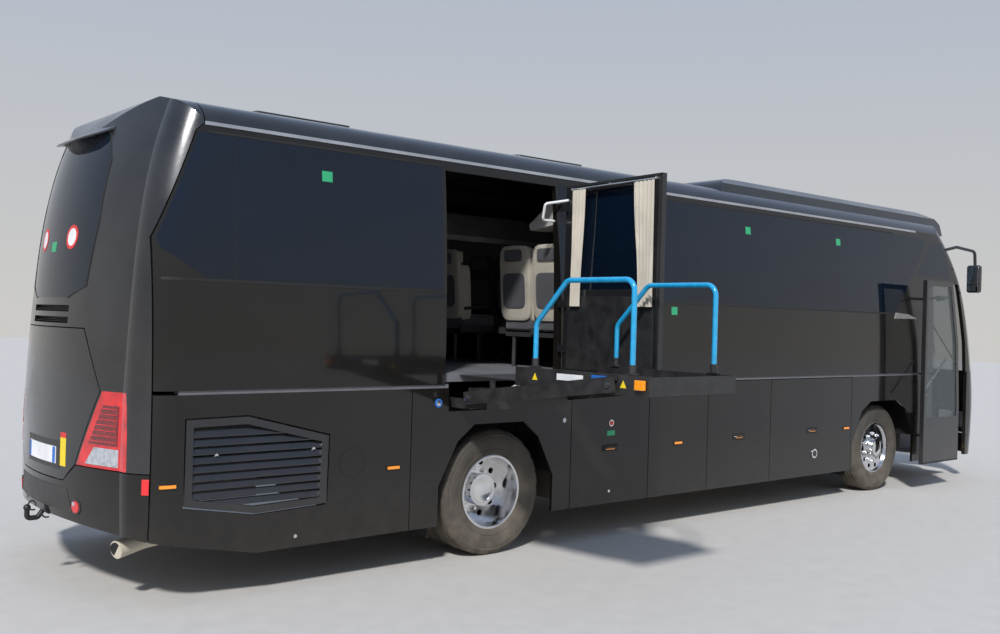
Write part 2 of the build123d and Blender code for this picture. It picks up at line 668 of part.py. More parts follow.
# Entrance door: pillar, gooseneck arms and outward swinging leaf
leaf_x1 = leaf_x0 + leaf_len
leaf_pts = [(leaf_x0, leaf_low), (leaf_x0, leaf_top), (7110, leaf_top), (7290, 1800), (leaf_x1, 1000), (leaf_x1, leaf_low)]
light_pts = [(leaf_x0 + 60, 880), (leaf_x0 + 60, leaf_top - 60), (7062, leaf_top - 60), (7230, 1790), (7288, 1000), (7288, 880)]
leaf = prism_xz(leaf_pts, leaf_y, leaf_y + leaf_t)
leaf = leaf - prism_xz(light_pts, leaf_y - 1, leaf_y + leaf_t + 1)
arm_angle = math.radians(-140.0)
tip_x = pivot_x + door_arm * math.cos(arm_angle)
tip_y = pivot_y + door_arm * math.sin(arm_angle)
elbow_x = pivot_x + 40.0
elbow_y = pivot_y - 275.0
arm_levels = (560.0, 2330.0)
tip_r = 20.0
for z in arm_levels:
    leaf = leaf + block(tip_x - 40, tip_x + 40, tip_y - 25, leaf_y + leaf_t, z - 14, z + 14)
    leaf = leaf - cyl_z(tip_x, tip_y, tip_r + run, z - 30, z + 30)
save("entrance_leaf", leaf)
save("entrance_leaf_glass", prism_xz(light_pts, leaf_y + 6, leaf_y + 18))
arms = cyl_z(pivot_x, pivot_y, 24, 480, 2450)
for z in arm_levels:
    path = [(pivot_x, pivot_y, z + 34), (elbow_x, elbow_y, z + 34), (tip_x, tip_y, z + 34)]
    arms = arms + tube(path, 16, 60)
    arms = arms + cyl_z(tip_x, tip_y, tip_r, z - 20, z + 50)
save("entrance_arms", arms)
post = block(pivot_x - 50, pivot_x + 40, pivot_y - 25, pivot_y + 35, 400, 470)
post = post + block(pivot_x - 50, pivot_x + 40, pivot_y - 25, pivot_y + 35, 2460, 2560)
save("cab_floor", Compound(children=[cab, post]))

# Wheelchair door leaf standing open, with window and curtains
dx = -0.1058
dy = -0.9944
way_len = 1181.0
hx = 660.0
hy = -1300.0


def along(s, t):
    """Point in the leaf's plan, s along the leaf and t towards its outer face."""
    return (hx + s * dx - t * dy, hy + s * dy + t * dx)


def leaf_piece(s0, s1, t0, t1, z0, z1):
    """Upright block in the opened leaf's own plan."""
    return prism_xy([along(s0, t0), along(s1, t0), along(s1, t1), along(s0, t1)], z0, z1)


way_leaf = leaf_piece(0, way_len, 0, 45, 1482, way_top - 5)
way_leaf = way_leaf - leaf_piece(90, way_len - 90, -5, 50, 2200, 3020)
for z in (1700.0, 2080.0, 2900.0):
    knuckle = block(622, 648, -1340, -1100, z - 30, z + 30) + block(622, 690, -1340, -1290, z - 30, z + 30)
    way_leaf = way_leaf + (knuckle - body(0.0))
save("wheelchair_door", way_leaf)
save("wheelchair_door_glass", leaf_piece(90, way_len - 90, 32, 38, 2200, 3020))
drape = [leaf_piece(120, 290, -40, 0, 2050, 3040), leaf_piece(way_len - 290, way_len - 60, -40, 0, 2050, 3040)]
save("door_curtains", Compound(children=drape))
bow = tube([(632, -1190, 2790), (490, -1190, 2790), (480, -1230, 2925), (668, -1325, 2965)], 12, 30)
bow = bow - [wall_r, way_leaf]
save("door_bow_arm", bow)

# Wheelchair lift: cassette, carriage with bridge plate, arms, links, platform and handrails
cassette = None
for s in (-1, 1):
    side = block(s * 490, s * 520, -1215, 200, 1215, slot_top)
    cassette = side if cassette is None else cassette + side
cassette = cassette + block(-490, 490, -1100, 200, 1215, 1228)
low0 = (arm_y0 + link_shift, arm_z0 + link_rise)
low1 = (arm_y1 + link_shift, arm_z1 + link_rise)
lug_in = 427.0
lug_out = 442.0
carriage = block(-lug_in, lug_in, -1620, -1430, 1240, 1395)
for s in (-1, 1):
    carriage = carriage + block(s * 385, s * lug_out, -1430, -800, 1228, 1300)
    carriage = carriage + block(s * lug_in, s * lug_out, arm_y0 - 50, arm_y0 + 60, 1240, 1395)
    carriage = carriage + cyl_x(arm_y0, arm_z0, arm_pin, s * lug_in, s * pin_end)
    carriage = carriage + cyl_x(low0[0], low0[1], link_pin, s * lug_in, s * (link_out + 2))
    carriage = carriage + block(s * 350, s * 390, -1620, -1600, 1390, 1478)
carriage = carriage + block(-395, 395, -1935, -1230, 1478, 1484)
save("lift_carriage", Compound(children=[carriage, cassette]))


def bar(p0, p1, depth, over, x0, x1, hole):
    """Flat bar between two pivots in the yz plane, with a bore at each."""
    length = math.hypot(p1[0] - p0[0], p1[1] - p0[1])
    uy = (p1[0] - p0[0]) / length
    uz = (p1[1] - p0[1]) / length
    h = depth / 2
    pts = []
    for a, b in ((-over, -h), (length + over, -h), (length + over, h), (-over, h)):
        pts.append((p0[0] + a * uy - b * uz, p0[1] + a * uz + b * uy))
    out = prism_yz(pts, x0, x1)
    out = out - cyl_x(p0[0], p0[1], hole, x0 - 5, x1 + 5)
    return out - cyl_x(p1[0], p1[1], hole, x0 - 5, x1 + 5)


lift_arms = bar((arm_y0, arm_z0), (arm_y1, arm_z1), 100, 38, arm_in, arm_out, arm_pin + run)
save("lift_arms", Compound(children=[lift_arms, across(lift_arms)]))
links = bar(low0, low1, 30, 15, link_in, link_out, link_pin + run)
save("lift_links", Compound(children=[links, across(links)]))
deck = block(-kerb_in, kerb_in, deck_y0, deck_y1, deck_z - deck_t, deck_z)
deck = deck + block(-lift_half, lift_half, deck_y1 - 12, deck_y1, 1463, 1587)
for s in (-1, 1):
    deck = deck + block(s * kerb_in, s * kerb_out, deck_y0, deck_y1, deck_z - deck_t, kerb_top)
    deck = deck + cyl_x(arm_y1, arm_z1, arm_pin, s * (kerb_in + 10), s * pin_end)
    deck = deck + cyl_x(low1[0], low1[1], link_pin, s * (kerb_in + 10), s * (link_out + 2))
save("lift_platform", deck)
rails = []
for s in (-1, 1):
    x = s * rail_x
    path = [(x, -2150, kerb_top), (x, -2150, 1910), (x, -2460, 2220), (x, -3090, 2220), (x, -3090, kerb_top)]
    rails.append(tube(path, rail_r, 80))
save("lift_handrails", Compound(children=rails))

# Mirrors on arms at the front top corners
mirror_arm = tube([(7690, -1100, 2990), (7850, -1240, 3050), (8200, -1320, 3010), (8222, -1320, 2800)], 20, 60)
mirror_head = block(8172, 8272, -1400, -1222, 2462, 2830)
mirror_head = fillet(mirror_head.edges(), 34)
mirror_set = (mirror_arm + mirror_head) - body(0.0)
save("mirrors", Compound(children=[mirror_set, flip(mirror_set)]))

# Tow coupling at the rear
ball_r = 25.0
hook = tube([(-3120, 0, 540), (-3190, 0, 440), (-3262, 0, 440), (-3262, 0, 500)], 18, 25)
hook = hook + at(-3262, 0, 515) * Sphere(ball_r)
hook = hook + block(-3138, -3108, -70, 70, 470, 640)
hook = hook + block(-3108, -2860, -40, 40, 560, 700)
hook = hook - rear_bumper
save("tow_coupling", hook)
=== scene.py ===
import bpy
import bmesh
import json
import math
from mathutils import Matrix, Vector
from mathutils.bvhtree import BVHTree


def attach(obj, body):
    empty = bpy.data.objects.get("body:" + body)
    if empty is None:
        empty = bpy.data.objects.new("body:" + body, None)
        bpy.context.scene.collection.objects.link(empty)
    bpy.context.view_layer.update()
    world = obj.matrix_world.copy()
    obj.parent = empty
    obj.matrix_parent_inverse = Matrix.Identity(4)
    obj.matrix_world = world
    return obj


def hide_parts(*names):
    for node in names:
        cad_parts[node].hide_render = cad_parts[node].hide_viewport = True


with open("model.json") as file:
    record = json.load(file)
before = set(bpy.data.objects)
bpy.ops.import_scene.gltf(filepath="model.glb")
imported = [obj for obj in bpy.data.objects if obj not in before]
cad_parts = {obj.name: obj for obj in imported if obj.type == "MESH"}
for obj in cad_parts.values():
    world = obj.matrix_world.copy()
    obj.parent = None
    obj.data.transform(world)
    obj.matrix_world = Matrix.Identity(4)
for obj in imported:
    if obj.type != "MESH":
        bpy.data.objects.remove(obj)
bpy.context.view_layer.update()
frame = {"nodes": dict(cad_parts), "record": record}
NODES = frame["nodes"]
ROOT = "coach_body"

# The row frame against the coach's own coordinates (x from the rear axle, y from the centre plane)
ORIGIN_X = 2.710
ORIGIN_Y = -0.931


def at(x, y, z):
    """Row-frame point of a place in the coach's own coordinates."""
    return Vector((x - ORIGIN_X, y - ORIGIN_Y, z))


def own(p):
    """A row-frame point in the coach's own coordinates."""
    return (p.x + ORIGIN_X, p.y + ORIGIN_Y, p.z)


# materials
MATS = {}
DUST = (0.30, 0.25, 0.19)
DUST_LOW = 0.15
GRIT_SCALE = 9.0
COAT_ROUGH = 0.04
BUMP_DEPTH = 0.004
WEAVE_DEPTH = 0.002
WEAVE_STRENGTH = 0.4


def link(tree, a, b):
    tree.links.new(a, b)


def noise_node(tree, coords, scale, detail=4.0):
    """Noise in object coordinates."""
    node = tree.nodes.new("ShaderNodeTexNoise")
    node.inputs["Scale"].default_value = scale
    node.inputs["Detail"].default_value = detail
    link(tree, coords.outputs["Object"], node.inputs["Vector"])
    return node


def math_node(tree, operation, a, b):
    """Two values put together by an operation."""
    node = tree.nodes.new("ShaderNodeMath")
    node.operation = operation
    link(tree, a, node.inputs[0])
    link(tree, b, node.inputs[1])
    return node.outputs[0]


def ranged(tree, source, low, high, from_low=0.3, from_high=0.7):
    """A value mapped to another range."""
    node = tree.nodes.new("ShaderNodeMapRange")
    for key, v in (("From Min", from_low), ("From Max", from_high), ("To Min", low), ("To Max", high)):
        node.inputs[key].default_value = v
    link(tree, source, node.inputs["Value"])
    return node.outputs["Result"]


def mixed(tree, factor, a, b):
    """Colour mixed from two, each of them a colour or a socket."""
    node = tree.nodes.new("ShaderNodeMix")
    node.data_type = "RGBA"
    link(tree, factor, node.inputs["Factor"])
    for socket, value in ((node.inputs["A"], a), (node.inputs["B"], b)):
        if isinstance(value, tuple):
            socket.default_value = (*value, 1)
        else:
            link(tree, value, socket)
    return node.outputs["Result"]


def finish_mat(name, color, rough, metal=0.0, coat=0.0, vary=0.12, scale=5.0, bump=0.0, bump_scale=60.0,
               dust=0.0, dust_top=0.9, alpha=1.0, spread=0.08, glow=0.0, sheen=0.0, spec=0.5):
    """Procedural material: varied colour and roughness, fine bump, and dust that thins out with height."""
    mat = bpy.data.materials.new(name)
    mat.use_nodes = True
    tree = mat.node_tree
    surf = tree.nodes["Principled BSDF"]
    coords = tree.nodes.new("ShaderNodeTexCoord")
    cloud = noise_node(tree, coords, scale)
    dark = tuple(c * (1 - vary) for c in color)
    light = tuple(min(1.0, c * (1 + vary)) for c in color)
    shade = mixed(tree, ranged(tree, cloud.outputs["Fac"], 0.0, 1.0), dark, light)
    gloss = ranged(tree, cloud.outputs["Fac"], max(0.0, rough - spread), rough + spread)
    if dust > 0:
        split = tree.nodes.new("ShaderNodeSeparateXYZ")
        link(tree, coords.outputs["Object"], split.inputs[0])
        height = ranged(tree, split.outputs["Z"], dust, 0.0, DUST_LOW, dust_top)
        grit = noise_node(tree, coords, GRIT_SCALE, 8.0)
        amount = math_node(tree, "MULTIPLY", height, ranged(tree, grit.outputs["Fac"], 0.4, 1.0))
        shade = mixed(tree, amount, shade, DUST)
        gloss = math_node(tree, "ADD", gloss, amount)
    link(tree, shade, surf.inputs["Base Color"])
    link(tree, gloss, surf.inputs["Roughness"])
    values = {"Metallic": metal, "Coat Weight": coat, "Coat Roughness": COAT_ROUGH,
              "Specular IOR Level": spec, "Alpha": alpha, "Sheen Weight": sheen}
    for key, value in values.items():
        surf.inputs[key].default_value = value
    if glow > 0:
        surf.inputs["Emission Color"].default_value = (*color, 1)
        surf.inputs["Emission Strength"].default_value = glow
    if bump > 0:
        fine = noise_node(tree, coords, bump_scale, 6.0)
        raise_by(tree, fine.outputs["Fac"], bump, BUMP_DEPTH)
    MATS[name] = mat
    return mat


def raise_by(tree, height, strength, depth):
    """Bump of the surface by a height value."""
    lift = tree.nodes.new("ShaderNodeBump")
    lift.inputs["Strength"].default_value = strength
    lift.inputs["Distance"].default_value = depth
    link(tree, height, lift.inputs["Height"])
    link(tree, lift.outputs["Normal"], tree.nodes["Principled BSDF"].inputs["Normal"])


def weave(name, color, count):
    """Woven cloth: two crossed wave patterns as bump over a varied colour."""
    mat = finish_mat(name, color, 0.85, sheen=0.4, vary=0.18, scale=3.0)
    tree = mat.node_tree
    coords = next(n for n in tree.nodes if n.bl_idname == "ShaderNodeTexCoord")
    threads = []
    for axis in ("X", "Z"):
        wave = tree.nodes.new("ShaderNodeTexWave")
        wave.bands_direction = axis
        wave.inputs["Scale"].default_value = count
        link(tree, coords.outputs["Object"], wave.inputs["Vector"])
        threads.append(wave.outputs["Fac"])
    raise_by(tree, math_node(tree, "ADD", *threads), WEAVE_STRENGTH, WEAVE_DEPTH)
    return mat


def paint_mats():
    """Body paints and other painted surfaces."""
    finish_mat("dark_paint", (0.010, 0.009, 0.008), 0.12, coat=0.35, spec=0.30, vary=0.2, scale=1.5,
               spread=0.03, dust=0.07)
    finish_mat("graphite_paint", (0.060, 0.059, 0.060), 0.26, metal=0.80, coat=0.5, vary=0.16, scale=2.5,
               dust=0.10, bump=0.03, bump_scale=900)
    finish_mat("black_paint", (0.016, 0.016, 0.018), 0.30, coat=0.4, dust=0.10)
    finish_mat("white_paint", (0.78, 0.78, 0.76), 0.35, coat=0.3)
    finish_mat("rail_blue", (0.012, 0.330, 0.620), 0.22, coat=0.8, vary=0.1, scale=20.0)
    finish_mat("lift_black", (0.022, 0.022, 0.023), 0.42, vary=0.35, scale=9.0, bump=0.15, bump_scale=160,
               dust=0.08, dust_top=2.0)


def glass_mats():
    """Glass, lamp lenses and the mirror faces."""
    finish_mat("tinted_glass", (0.003, 0.008, 0.018), 0.03, coat=0.25, spec=0.35, vary=0.25, scale=0.7,
               spread=0.012, alpha=0.94)
    finish_mat("clear_glass", (0.05, 0.07, 0.075), 0.02, coat=1.0, alpha=0.38, spread=0.01)
    finish_mat("red_lamp", (0.55, 0.008, 0.010), 0.10, coat=1.0, vary=0.3, scale=14.0, glow=0.12)
    finish_mat("red_deep", (0.16, 0.004, 0.006), 0.15, coat=1.0, vary=0.4, scale=40.0)
    finish_mat("clear_lamp", (0.55, 0.57, 0.60), 0.10, metal=0.5, coat=1.0, vary=0.25, scale=30.0)
    finish_mat("orange_lamp", (0.85, 0.27, 0.01), 0.15, coat=1.0, vary=0.2, scale=60.0, glow=0.25)
    finish_mat("lamp_dark", (0.05, 0.05, 0.055), 0.12, metal=0.6, coat=1.0)
    finish_mat("mirror_face", (0.80, 0.82, 0.85), 0.02, metal=1.0, spread=0.01)


def metal_mats():
    """Frame, castings, rims and bright metal."""
    finish_mat("frame_steel", (0.075, 0.072, 0.070), 0.6, metal=0.3, dust=0.5)
    finish_mat("polished_rim", (0.74, 0.74, 0.75), 0.16, metal=1.0, vary=0.08, scale=12.0, spread=0.07)
    finish_mat("silver_trim", (0.60, 0.60, 0.60), 0.28, metal=0.9)
    finish_mat("cast_grey", (0.12, 0.12, 0.12), 0.6, metal=0.5, dust=0.4)
    finish_mat("hitch_black", (0.025, 0.025, 0.026), 0.45, metal=0.3, bump=0.3, bump_scale=120)
    finish_mat("pipe_cream", (0.62, 0.56, 0.44), 0.6, dust=0.3)
    finish_mat("chrome", (0.80, 0.80, 0.80), 0.08, metal=1.0)


def soft_mats():
    """Rubber, plastics, floor coverings and cloth."""
    finish_mat("tyre_rubber", (0.030, 0.028, 0.026), 0.75, vary=0.3, scale=6.0, bump=0.25, bump_scale=120,
               dust=0.45, dust_top=1.3)
    finish_mat("rubber_black", (0.012, 0.012, 0.012), 0.7, bump=0.2, bump_scale=200)
    finish_mat("floor_deck", (0.15, 0.15, 0.16), 0.65, bump=0.3, bump_scale=220)
    finish_mat("grip_deck", (0.045, 0.045, 0.047), 0.8, bump=0.9, bump_scale=260)
    finish_mat("trim_plastic", (0.45, 0.44, 0.42), 0.5, bump=0.1, bump_scale=300)
    finish_mat("dash_plastic", (0.035, 0.035, 0.036), 0.55, bump=0.3, bump_scale=400)
    finish_mat("seat_fabric", (0.060, 0.060, 0.070), 0.85, bump=0.4, bump_scale=500, sheen=0.4)
    weave("curtain_fabric", (0.62, 0.56, 0.46), 240.0)
    weave("seat_cream", (0.50, 0.45, 0.36), 300.0)
    weave("seat_dark", (0.055, 0.055, 0.065), 300.0)


def mark_mats():
    """Plain colours of blank plates and marks."""
    finish_mat("yellow_mark", (0.85, 0.62, 0.02), 0.45)
    finish_mat("green_mark", (0.03, 0.38, 0.16), 0.45)
    finish_mat("blue_mark", (0.02, 0.14, 0.50), 0.45)
    finish_mat("red_mark", (0.70, 0.03, 0.03), 0.4)
    finish_mat("plate_white", (0.80, 0.80, 0.80), 0.35, dust=0.2)


def dress_nodes():
    """The carried-over CAD pieces take the finish of their slot in the record."""
    for part in frame["record"]["subparts"]:
        obj = NODES[part["node"]]
        for holder in obj.material_slots:
            holder.material = MATS[part["material_slot"]]


for dress in (paint_mats, glass_mats, metal_mats, soft_mats, mark_mats, dress_nodes):
    dress()


# drawing helpers
OUT_RIGHT, OUT_LEFT, OUT_REAR, OUT_FRONT, OUT_TOP = -4.5, 3.0, -6.0, 12.0, 6.0
SIDES = {
    "right": (lambda u, v: at(u, OUT_RIGHT, v), Vector((0, 1, 0))),
    "left": (lambda u, v: at(u, OUT_LEFT, v), Vector((0, -1, 0))),
    "rear": (lambda u, v: at(OUT_REAR, u, v), Vector((1, 0, 0))),
    "front": (lambda u, v: at(OUT_FRONT, u, v), Vector((-1, 0, 0))),
    "top": (lambda u, v: at(u, v, OUT_TOP), Vector((0, 0, -1))),
}
SKIN_NAMES = ("side_", "skirt_", "rear_body", "rear_bumper", "rear_window", "engine_lid", "tail_lamps",
              "front_mask", "windscreen", "headlamps", "roof_panel", "roof_fairing", "middle_door",
              "luggage_flap", "radiator_flap")
SHELL = [n for n in NODES if n.startswith(SKIN_NAMES)]
TREES = {}
SEARCH_REACH = (0.012, 0.03, 0.06)
SEARCH_WAYS = ((1, 0), (-1, 0), (0, 1), (0, -1), (1, 1), (-1, -1))
SEARCH = [(0, 0)] + [(r * a, r * b) for r in SEARCH_REACH for a, b in SEARCH_WAYS]
SINK = 0.002
MERGE_DIST = 0.00002
BEVEL_ANGLE = 0.6
SMOOTH_ANGLE = math.radians(35)
BOX_FACES = [(0, 2, 3, 1), (4, 5, 7, 6), (0, 1, 5, 4), (2, 6, 7, 3), (0, 4, 6, 2), (1, 3, 7, 5)]


def turn(k, n):
    """Angle of step k of n round a circle."""
    return 2 * math.pi * k / n


def tree_of(node):
    """Search tree over a CAD node's faces."""
    if node not in TREES:
        TREES[node] = BVHTree.FromObject(NODES[node], bpy.context.evaluated_depsgraph_get())
    return TREES[node]


def drop(side, u, v, nodes=None):
    """Point of the coach's skin met from a side, at u, v of its plane; a seam takes its neighbour's depth."""
    start, way = SIDES[side]
    for group in (nodes or SHELL, SHELL):
        for du, dv in SEARCH:
            origin = start(u + du, v + dv)
            hits = [tree_of(n).ray_cast(origin, way)[3] for n in group]
            hits = [h for h in hits if h is not None]
            if hits:
                return start(u, v) + way * min(hits)
    raise ValueError("nothing there: " + side + str((u, v)))


class Shape:
    """Mesh gathered from simple forms, in the row frame."""

    def __init__(self):
        self.verts = []
        self.faces = []

    def add(self, verts, faces):
        """Vertices and faces put after those already there."""
        n = len(self.verts)
        self.verts += [Vector(v) for v in verts]
        self.faces += [tuple(i + n for i in f) for f in faces]
        return self

    def box(self, x0, x1, y0, y1, z0, z1):
        """Box between two corners in the coach's own coordinates."""
        return self.add([at(x, y, z) for z in (z0, z1) for y in (y0, y1) for x in (x0, x1)], BOX_FACES)

    def leaf_box(self, s0, s1, t0, t1, z0, z1):
        """Box on the open wheelchair leaf: s along it, t towards its outer face."""
        return self.add([along(s, t, z) for z in (z0, z1) for t in (t0, t1) for s in (s0, s1)], BOX_FACES)

    def rings(self, rings, closed=False, caps=True):
        """Skin over rings of equal point counts."""
        n = len(rings[0])
        verts = [p for ring in rings for p in ring]
        faces = []
        for k in range(len(rings) if closed else len(rings) - 1):
            a, b = k * n, ((k + 1) % len(rings)) * n
            faces += [(a + i, a + (i + 1) % n, b + (i + 1) % n, b + i) for i in range(n)]
        if caps and not closed:
            faces += [tuple(range(n))[::-1], tuple(range((len(rings) - 1) * n, len(rings) * n))]
        return self.add(verts, faces)

    def tube(self, points, r, n=10):
        """Round bar along points in the coach's own coordinates; r is one radius or one for each point."""
        p = [at(*q) for q in points]
        rings = []
        for i, c in enumerate(p):
            way = (p[min(i + 1, len(p) - 1)] - p[max(i - 1, 0)]).normalized()
            side = way.orthogonal().normalized() if i == 0 else (side - way * side.dot(way)).normalized()
            up = way.cross(side)
            radius = r[i] if isinstance(r, (list, tuple)) else r
            rings.append(circle(c, side, up, radius, n))
        return self.rings(rings)

    def lathe(self, x, z, profile, n=48, wave=None):
        """Turned form about a y axis; profile holds radius, y pairs; wave(k, i) may draw a point in."""
        rings = []
        for k in range(n):
            a = turn(k, n)
            ring = []
            for i, (r, y) in enumerate(profile):
                rr = r - (wave(k, i) if wave else 0.0)
                ring.append(at(x + rr * math.cos(a), y, z + rr * math.sin(a)))
            rings.append(ring)
        return self.rings(rings, closed=True)

    def patch(self, side, corners, thick=0.003, nu=6, nv=3, nodes=None):
        """Slab laid on the skin over four corners given in a side's plane."""
        a, b, c, d = corners
        way = SIDES[side][1]
        outer, inner = [], []
        for j in range(nv + 1):
            for i in range(nu + 1):
                s, t = i / nu, j / nv
                u = (a[0] * (1 - s) + b[0] * s) * (1 - t) + (d[0] * (1 - s) + c[0] * s) * t
                v = (a[1] * (1 - s) + b[1] * s) * (1 - t) + (d[1] * (1 - s) + c[1] * s) * t
                p = drop(side, u, v, nodes)
                outer.append(p - way * thick)
                inner.append(p + way * SINK)
        return self.slab(outer, inner, nu, nv)

    def slab(self, outer, inner, nu, nv):
        """Closed slab between two grids."""
        m = len(outer)
        w = nu + 1
        faces = []
        for j in range(nv):
            for i in range(nu):
                q = (j * w + i, j * w + i + 1, (j + 1) * w + i + 1, (j + 1) * w + i)
                faces.append(q)
                faces.append(tuple(k + m for k in q[::-1]))
        rim = list(range(w)) + [j * w + nu for j in range(1, nv + 1)]
        rim += [nv * w + i for i in range(nu - 1, -1, -1)] + [j * w for j in range(nv - 1, 0, -1)]
        for k, i in enumerate(rim):
            j = rim[(k + 1) % len(rim)]
            faces.append((j, i, i + m, j + m))
        return self.add(outer + inner, faces)

    def disc(self, side, u, v, r, thick=0.004, r_in=0.0, n=28, nodes=None):
        """Round or ring-shaped slab laid on the skin."""
        way = SIDES[side][1]
        rings = []
        for k in range(n):
            a = turn(k, n)
            row = []
            for rr, lift in ((r_in, -SINK), (r_in, thick), (r, thick), (r, -SINK)):
                p = drop(side, u + rr * math.cos(a), v + rr * math.sin(a), nodes)
                row.append(p - way * lift)
            rings.append(row)
        return self.rings(rings, closed=True)

    def bolt(self, centre, way, r, length, n=6):
        """Short prism along a row-frame direction."""
        side = way.orthogonal().normalized()
        up = way.cross(side)
        return self.rings([circle(centre + way * s, side, up, r, n) for s in (0.0, length)])

    def make(self, name, mat, body=ROOT, bevel=0.0, smooth=False, slot=None, segments=2):
        """The finished piece, riding on a body."""
        mesh = bpy.data.meshes.new(name)
        mesh.from_pydata(self.verts, [], self.faces)
        bm = bmesh.new()
        bm.from_mesh(mesh)
        bmesh.ops.remove_doubles(bm, verts=bm.verts, dist=MERGE_DIST)
        bmesh.ops.recalc_face_normals(bm, faces=bm.faces)
        if bevel > 0:
            edges = [e for e in bm.edges if len(e.link_faces) == 2 and e.calc_face_angle(0) > BEVEL_ANGLE]
            bmesh.ops.bevel(bm, geom=edges, offset=bevel, segments=segments, affect="EDGES", profile=0.5,
                            clamp_overlap=True)
        bm.to_mesh(mesh)
        bm.free()
        mesh.materials.append(MATS[mat])
        if smooth:
            mesh.shade_smooth()
            mesh.set_sharp_from_angle(angle=SMOOTH_ANGLE)
        obj = bpy.data.objects.new(name, mesh)
        bpy.context.scene.collection.objects.link(obj)
        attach(obj, body)
        return obj


def circle(centre, side, up, r, n):
    """Ring of n points about a centre, in the plane of two directions."""
    return [centre + side * (r * math.cos(turn(k, n))) + up * (r * math.sin(turn(k, n))) for k in range(n)]


def quad(u, v, w, h):
    """Four corners of an upright rectangle about a centre."""
    return [(u - w / 2, v - h / 2), (u + w / 2, v - h / 2), (u + w / 2, v + h / 2), (u - w / 2, v + h / 2)]


# body details
MARKER_PLACES = (-2.78, -1.04, 2.25, 5.22, 7.05)
LOW_Z = 0.80
PULL_Z = 0.81
PLATE_THICK = 0.0012
HOLD_HANDLES = {"right": (3.21, 4.53), "left": (1.55, 3.01, 4.53)}
MIDDLE_DOOR_X = 1.31
BELT_Z = (2.128, 2.146)
UPPER_SEAL_Z = (3.113, 3.128)
GLASS_REAR_X, GLASS_FRONT_X = -2.84, 6.28
DOORWAY_X = (-0.60, 0.66)


def side_lamps():
    """Orange side markers, corner reflectors, the small white lamp and the lift's button."""
    base_w, base_h, lens_w, lens_h = 0.122, 0.036, 0.105, 0.022
    corner_x, corner_w, corner_h = -2.905, 0.034, 0.10
    for side in ("right", "left"):
        marks = Shape()
        bases = Shape()
        for u in MARKER_PLACES:
            bases.patch(side, quad(u, LOW_Z, base_w, base_h), 0.006)
            marks.patch(side, quad(u, LOW_Z, lens_w, lens_h), 0.014)
        bases.make("marker_bases_" + side, "rubber_black", slot="black_paint")
        marks.make("side_markers_" + side, "orange_lamp", slot="clear_lamp", bevel=0.002)
        corner = Shape().patch(side, quad(corner_x, LOW_Z, corner_w, corner_h), 0.010, 2, 4)
        corner.make("corner_reflector_" + side, "red_mark", bevel=0.002, slot="red_lamp")
    lamp_x, lamp_z, lamp_r = 0.73, 1.08, 0.020
    Shape().disc("right", lamp_x, lamp_z, lamp_r, 0.006).make("step_lamp", "clear_lamp", slot="clear_lamp")
    button_x, button_z, button_r, ring_r = -0.63, 1.27, 0.021, 0.034
    ring = Shape().disc("right", button_x, button_z, ring_r, 0.005, r_in=button_r + 0.001)
    ring.make("lift_button_ring", "blue_mark", slot="rail_blue")
    button = Shape().disc("right", button_x, button_z, button_r, 0.008)
    button.make("lift_button", "chrome", slot="silver_trim")


def flap_handle(name, side, u, v, body):
    """Oval pull with a recessed cup and an orange reflector."""
    cup_w, cup_h, grip_half, grip_rise, grip_r = 0.20, 0.062, 0.065, 0.018, 0.008
    cup = Shape().patch(side, quad(u, v, cup_w, cup_h), 0.004)
    cup.make(name + "_cup", "rubber_black", body, bevel=0.001, slot="black_paint")
    way = SIDES[side][1]
    foot = grip_half + 0.015
    steps = ((-foot, 0.0), (-grip_half, grip_rise), (grip_half, grip_rise), (foot, 0.0))
    grip = Shape().tube([own(drop(side, u + d, v) - way * h) for d, h in steps], grip_r, 8)
    grip.make(name + "_grip", "black_paint", body, smooth=True, slot="black_paint")
    # The reflector takes the glowing orange lamp material, so its glow is painted light: a reflector is no
    # lamp.
    mark = Shape().patch(side, quad(u, v - 0.005, 0.115, 0.024), 0.011)
    mark.make(name + "_mark", "orange_lamp", body, bevel=0.002, slot="clear_lamp")


def flap_handles():
    """Handles of the luggage flaps and the middle door."""
    for side, places in HOLD_HANDLES.items():
        for k, u in enumerate(places):
            tag = "%s_%d" % (side, k + 1)
            flap_handle("hold_handle_" + tag, side, u, PULL_Z, "luggage_hatch_" + tag)
    flap_handle("middle_door_handle", "right", MIDDLE_DOOR_X, PULL_Z, ROOT)


def round_piece(name, mat, slot, u, v, r, thick, body=ROOT, bevel=0.0, r_in=0.0, side="right", nodes=None):
    """One round piece on the skin."""
    Shape().disc(side, u, v, r, thick, r_in, nodes=nodes).make(name, mat, body, bevel=bevel, slot=slot)


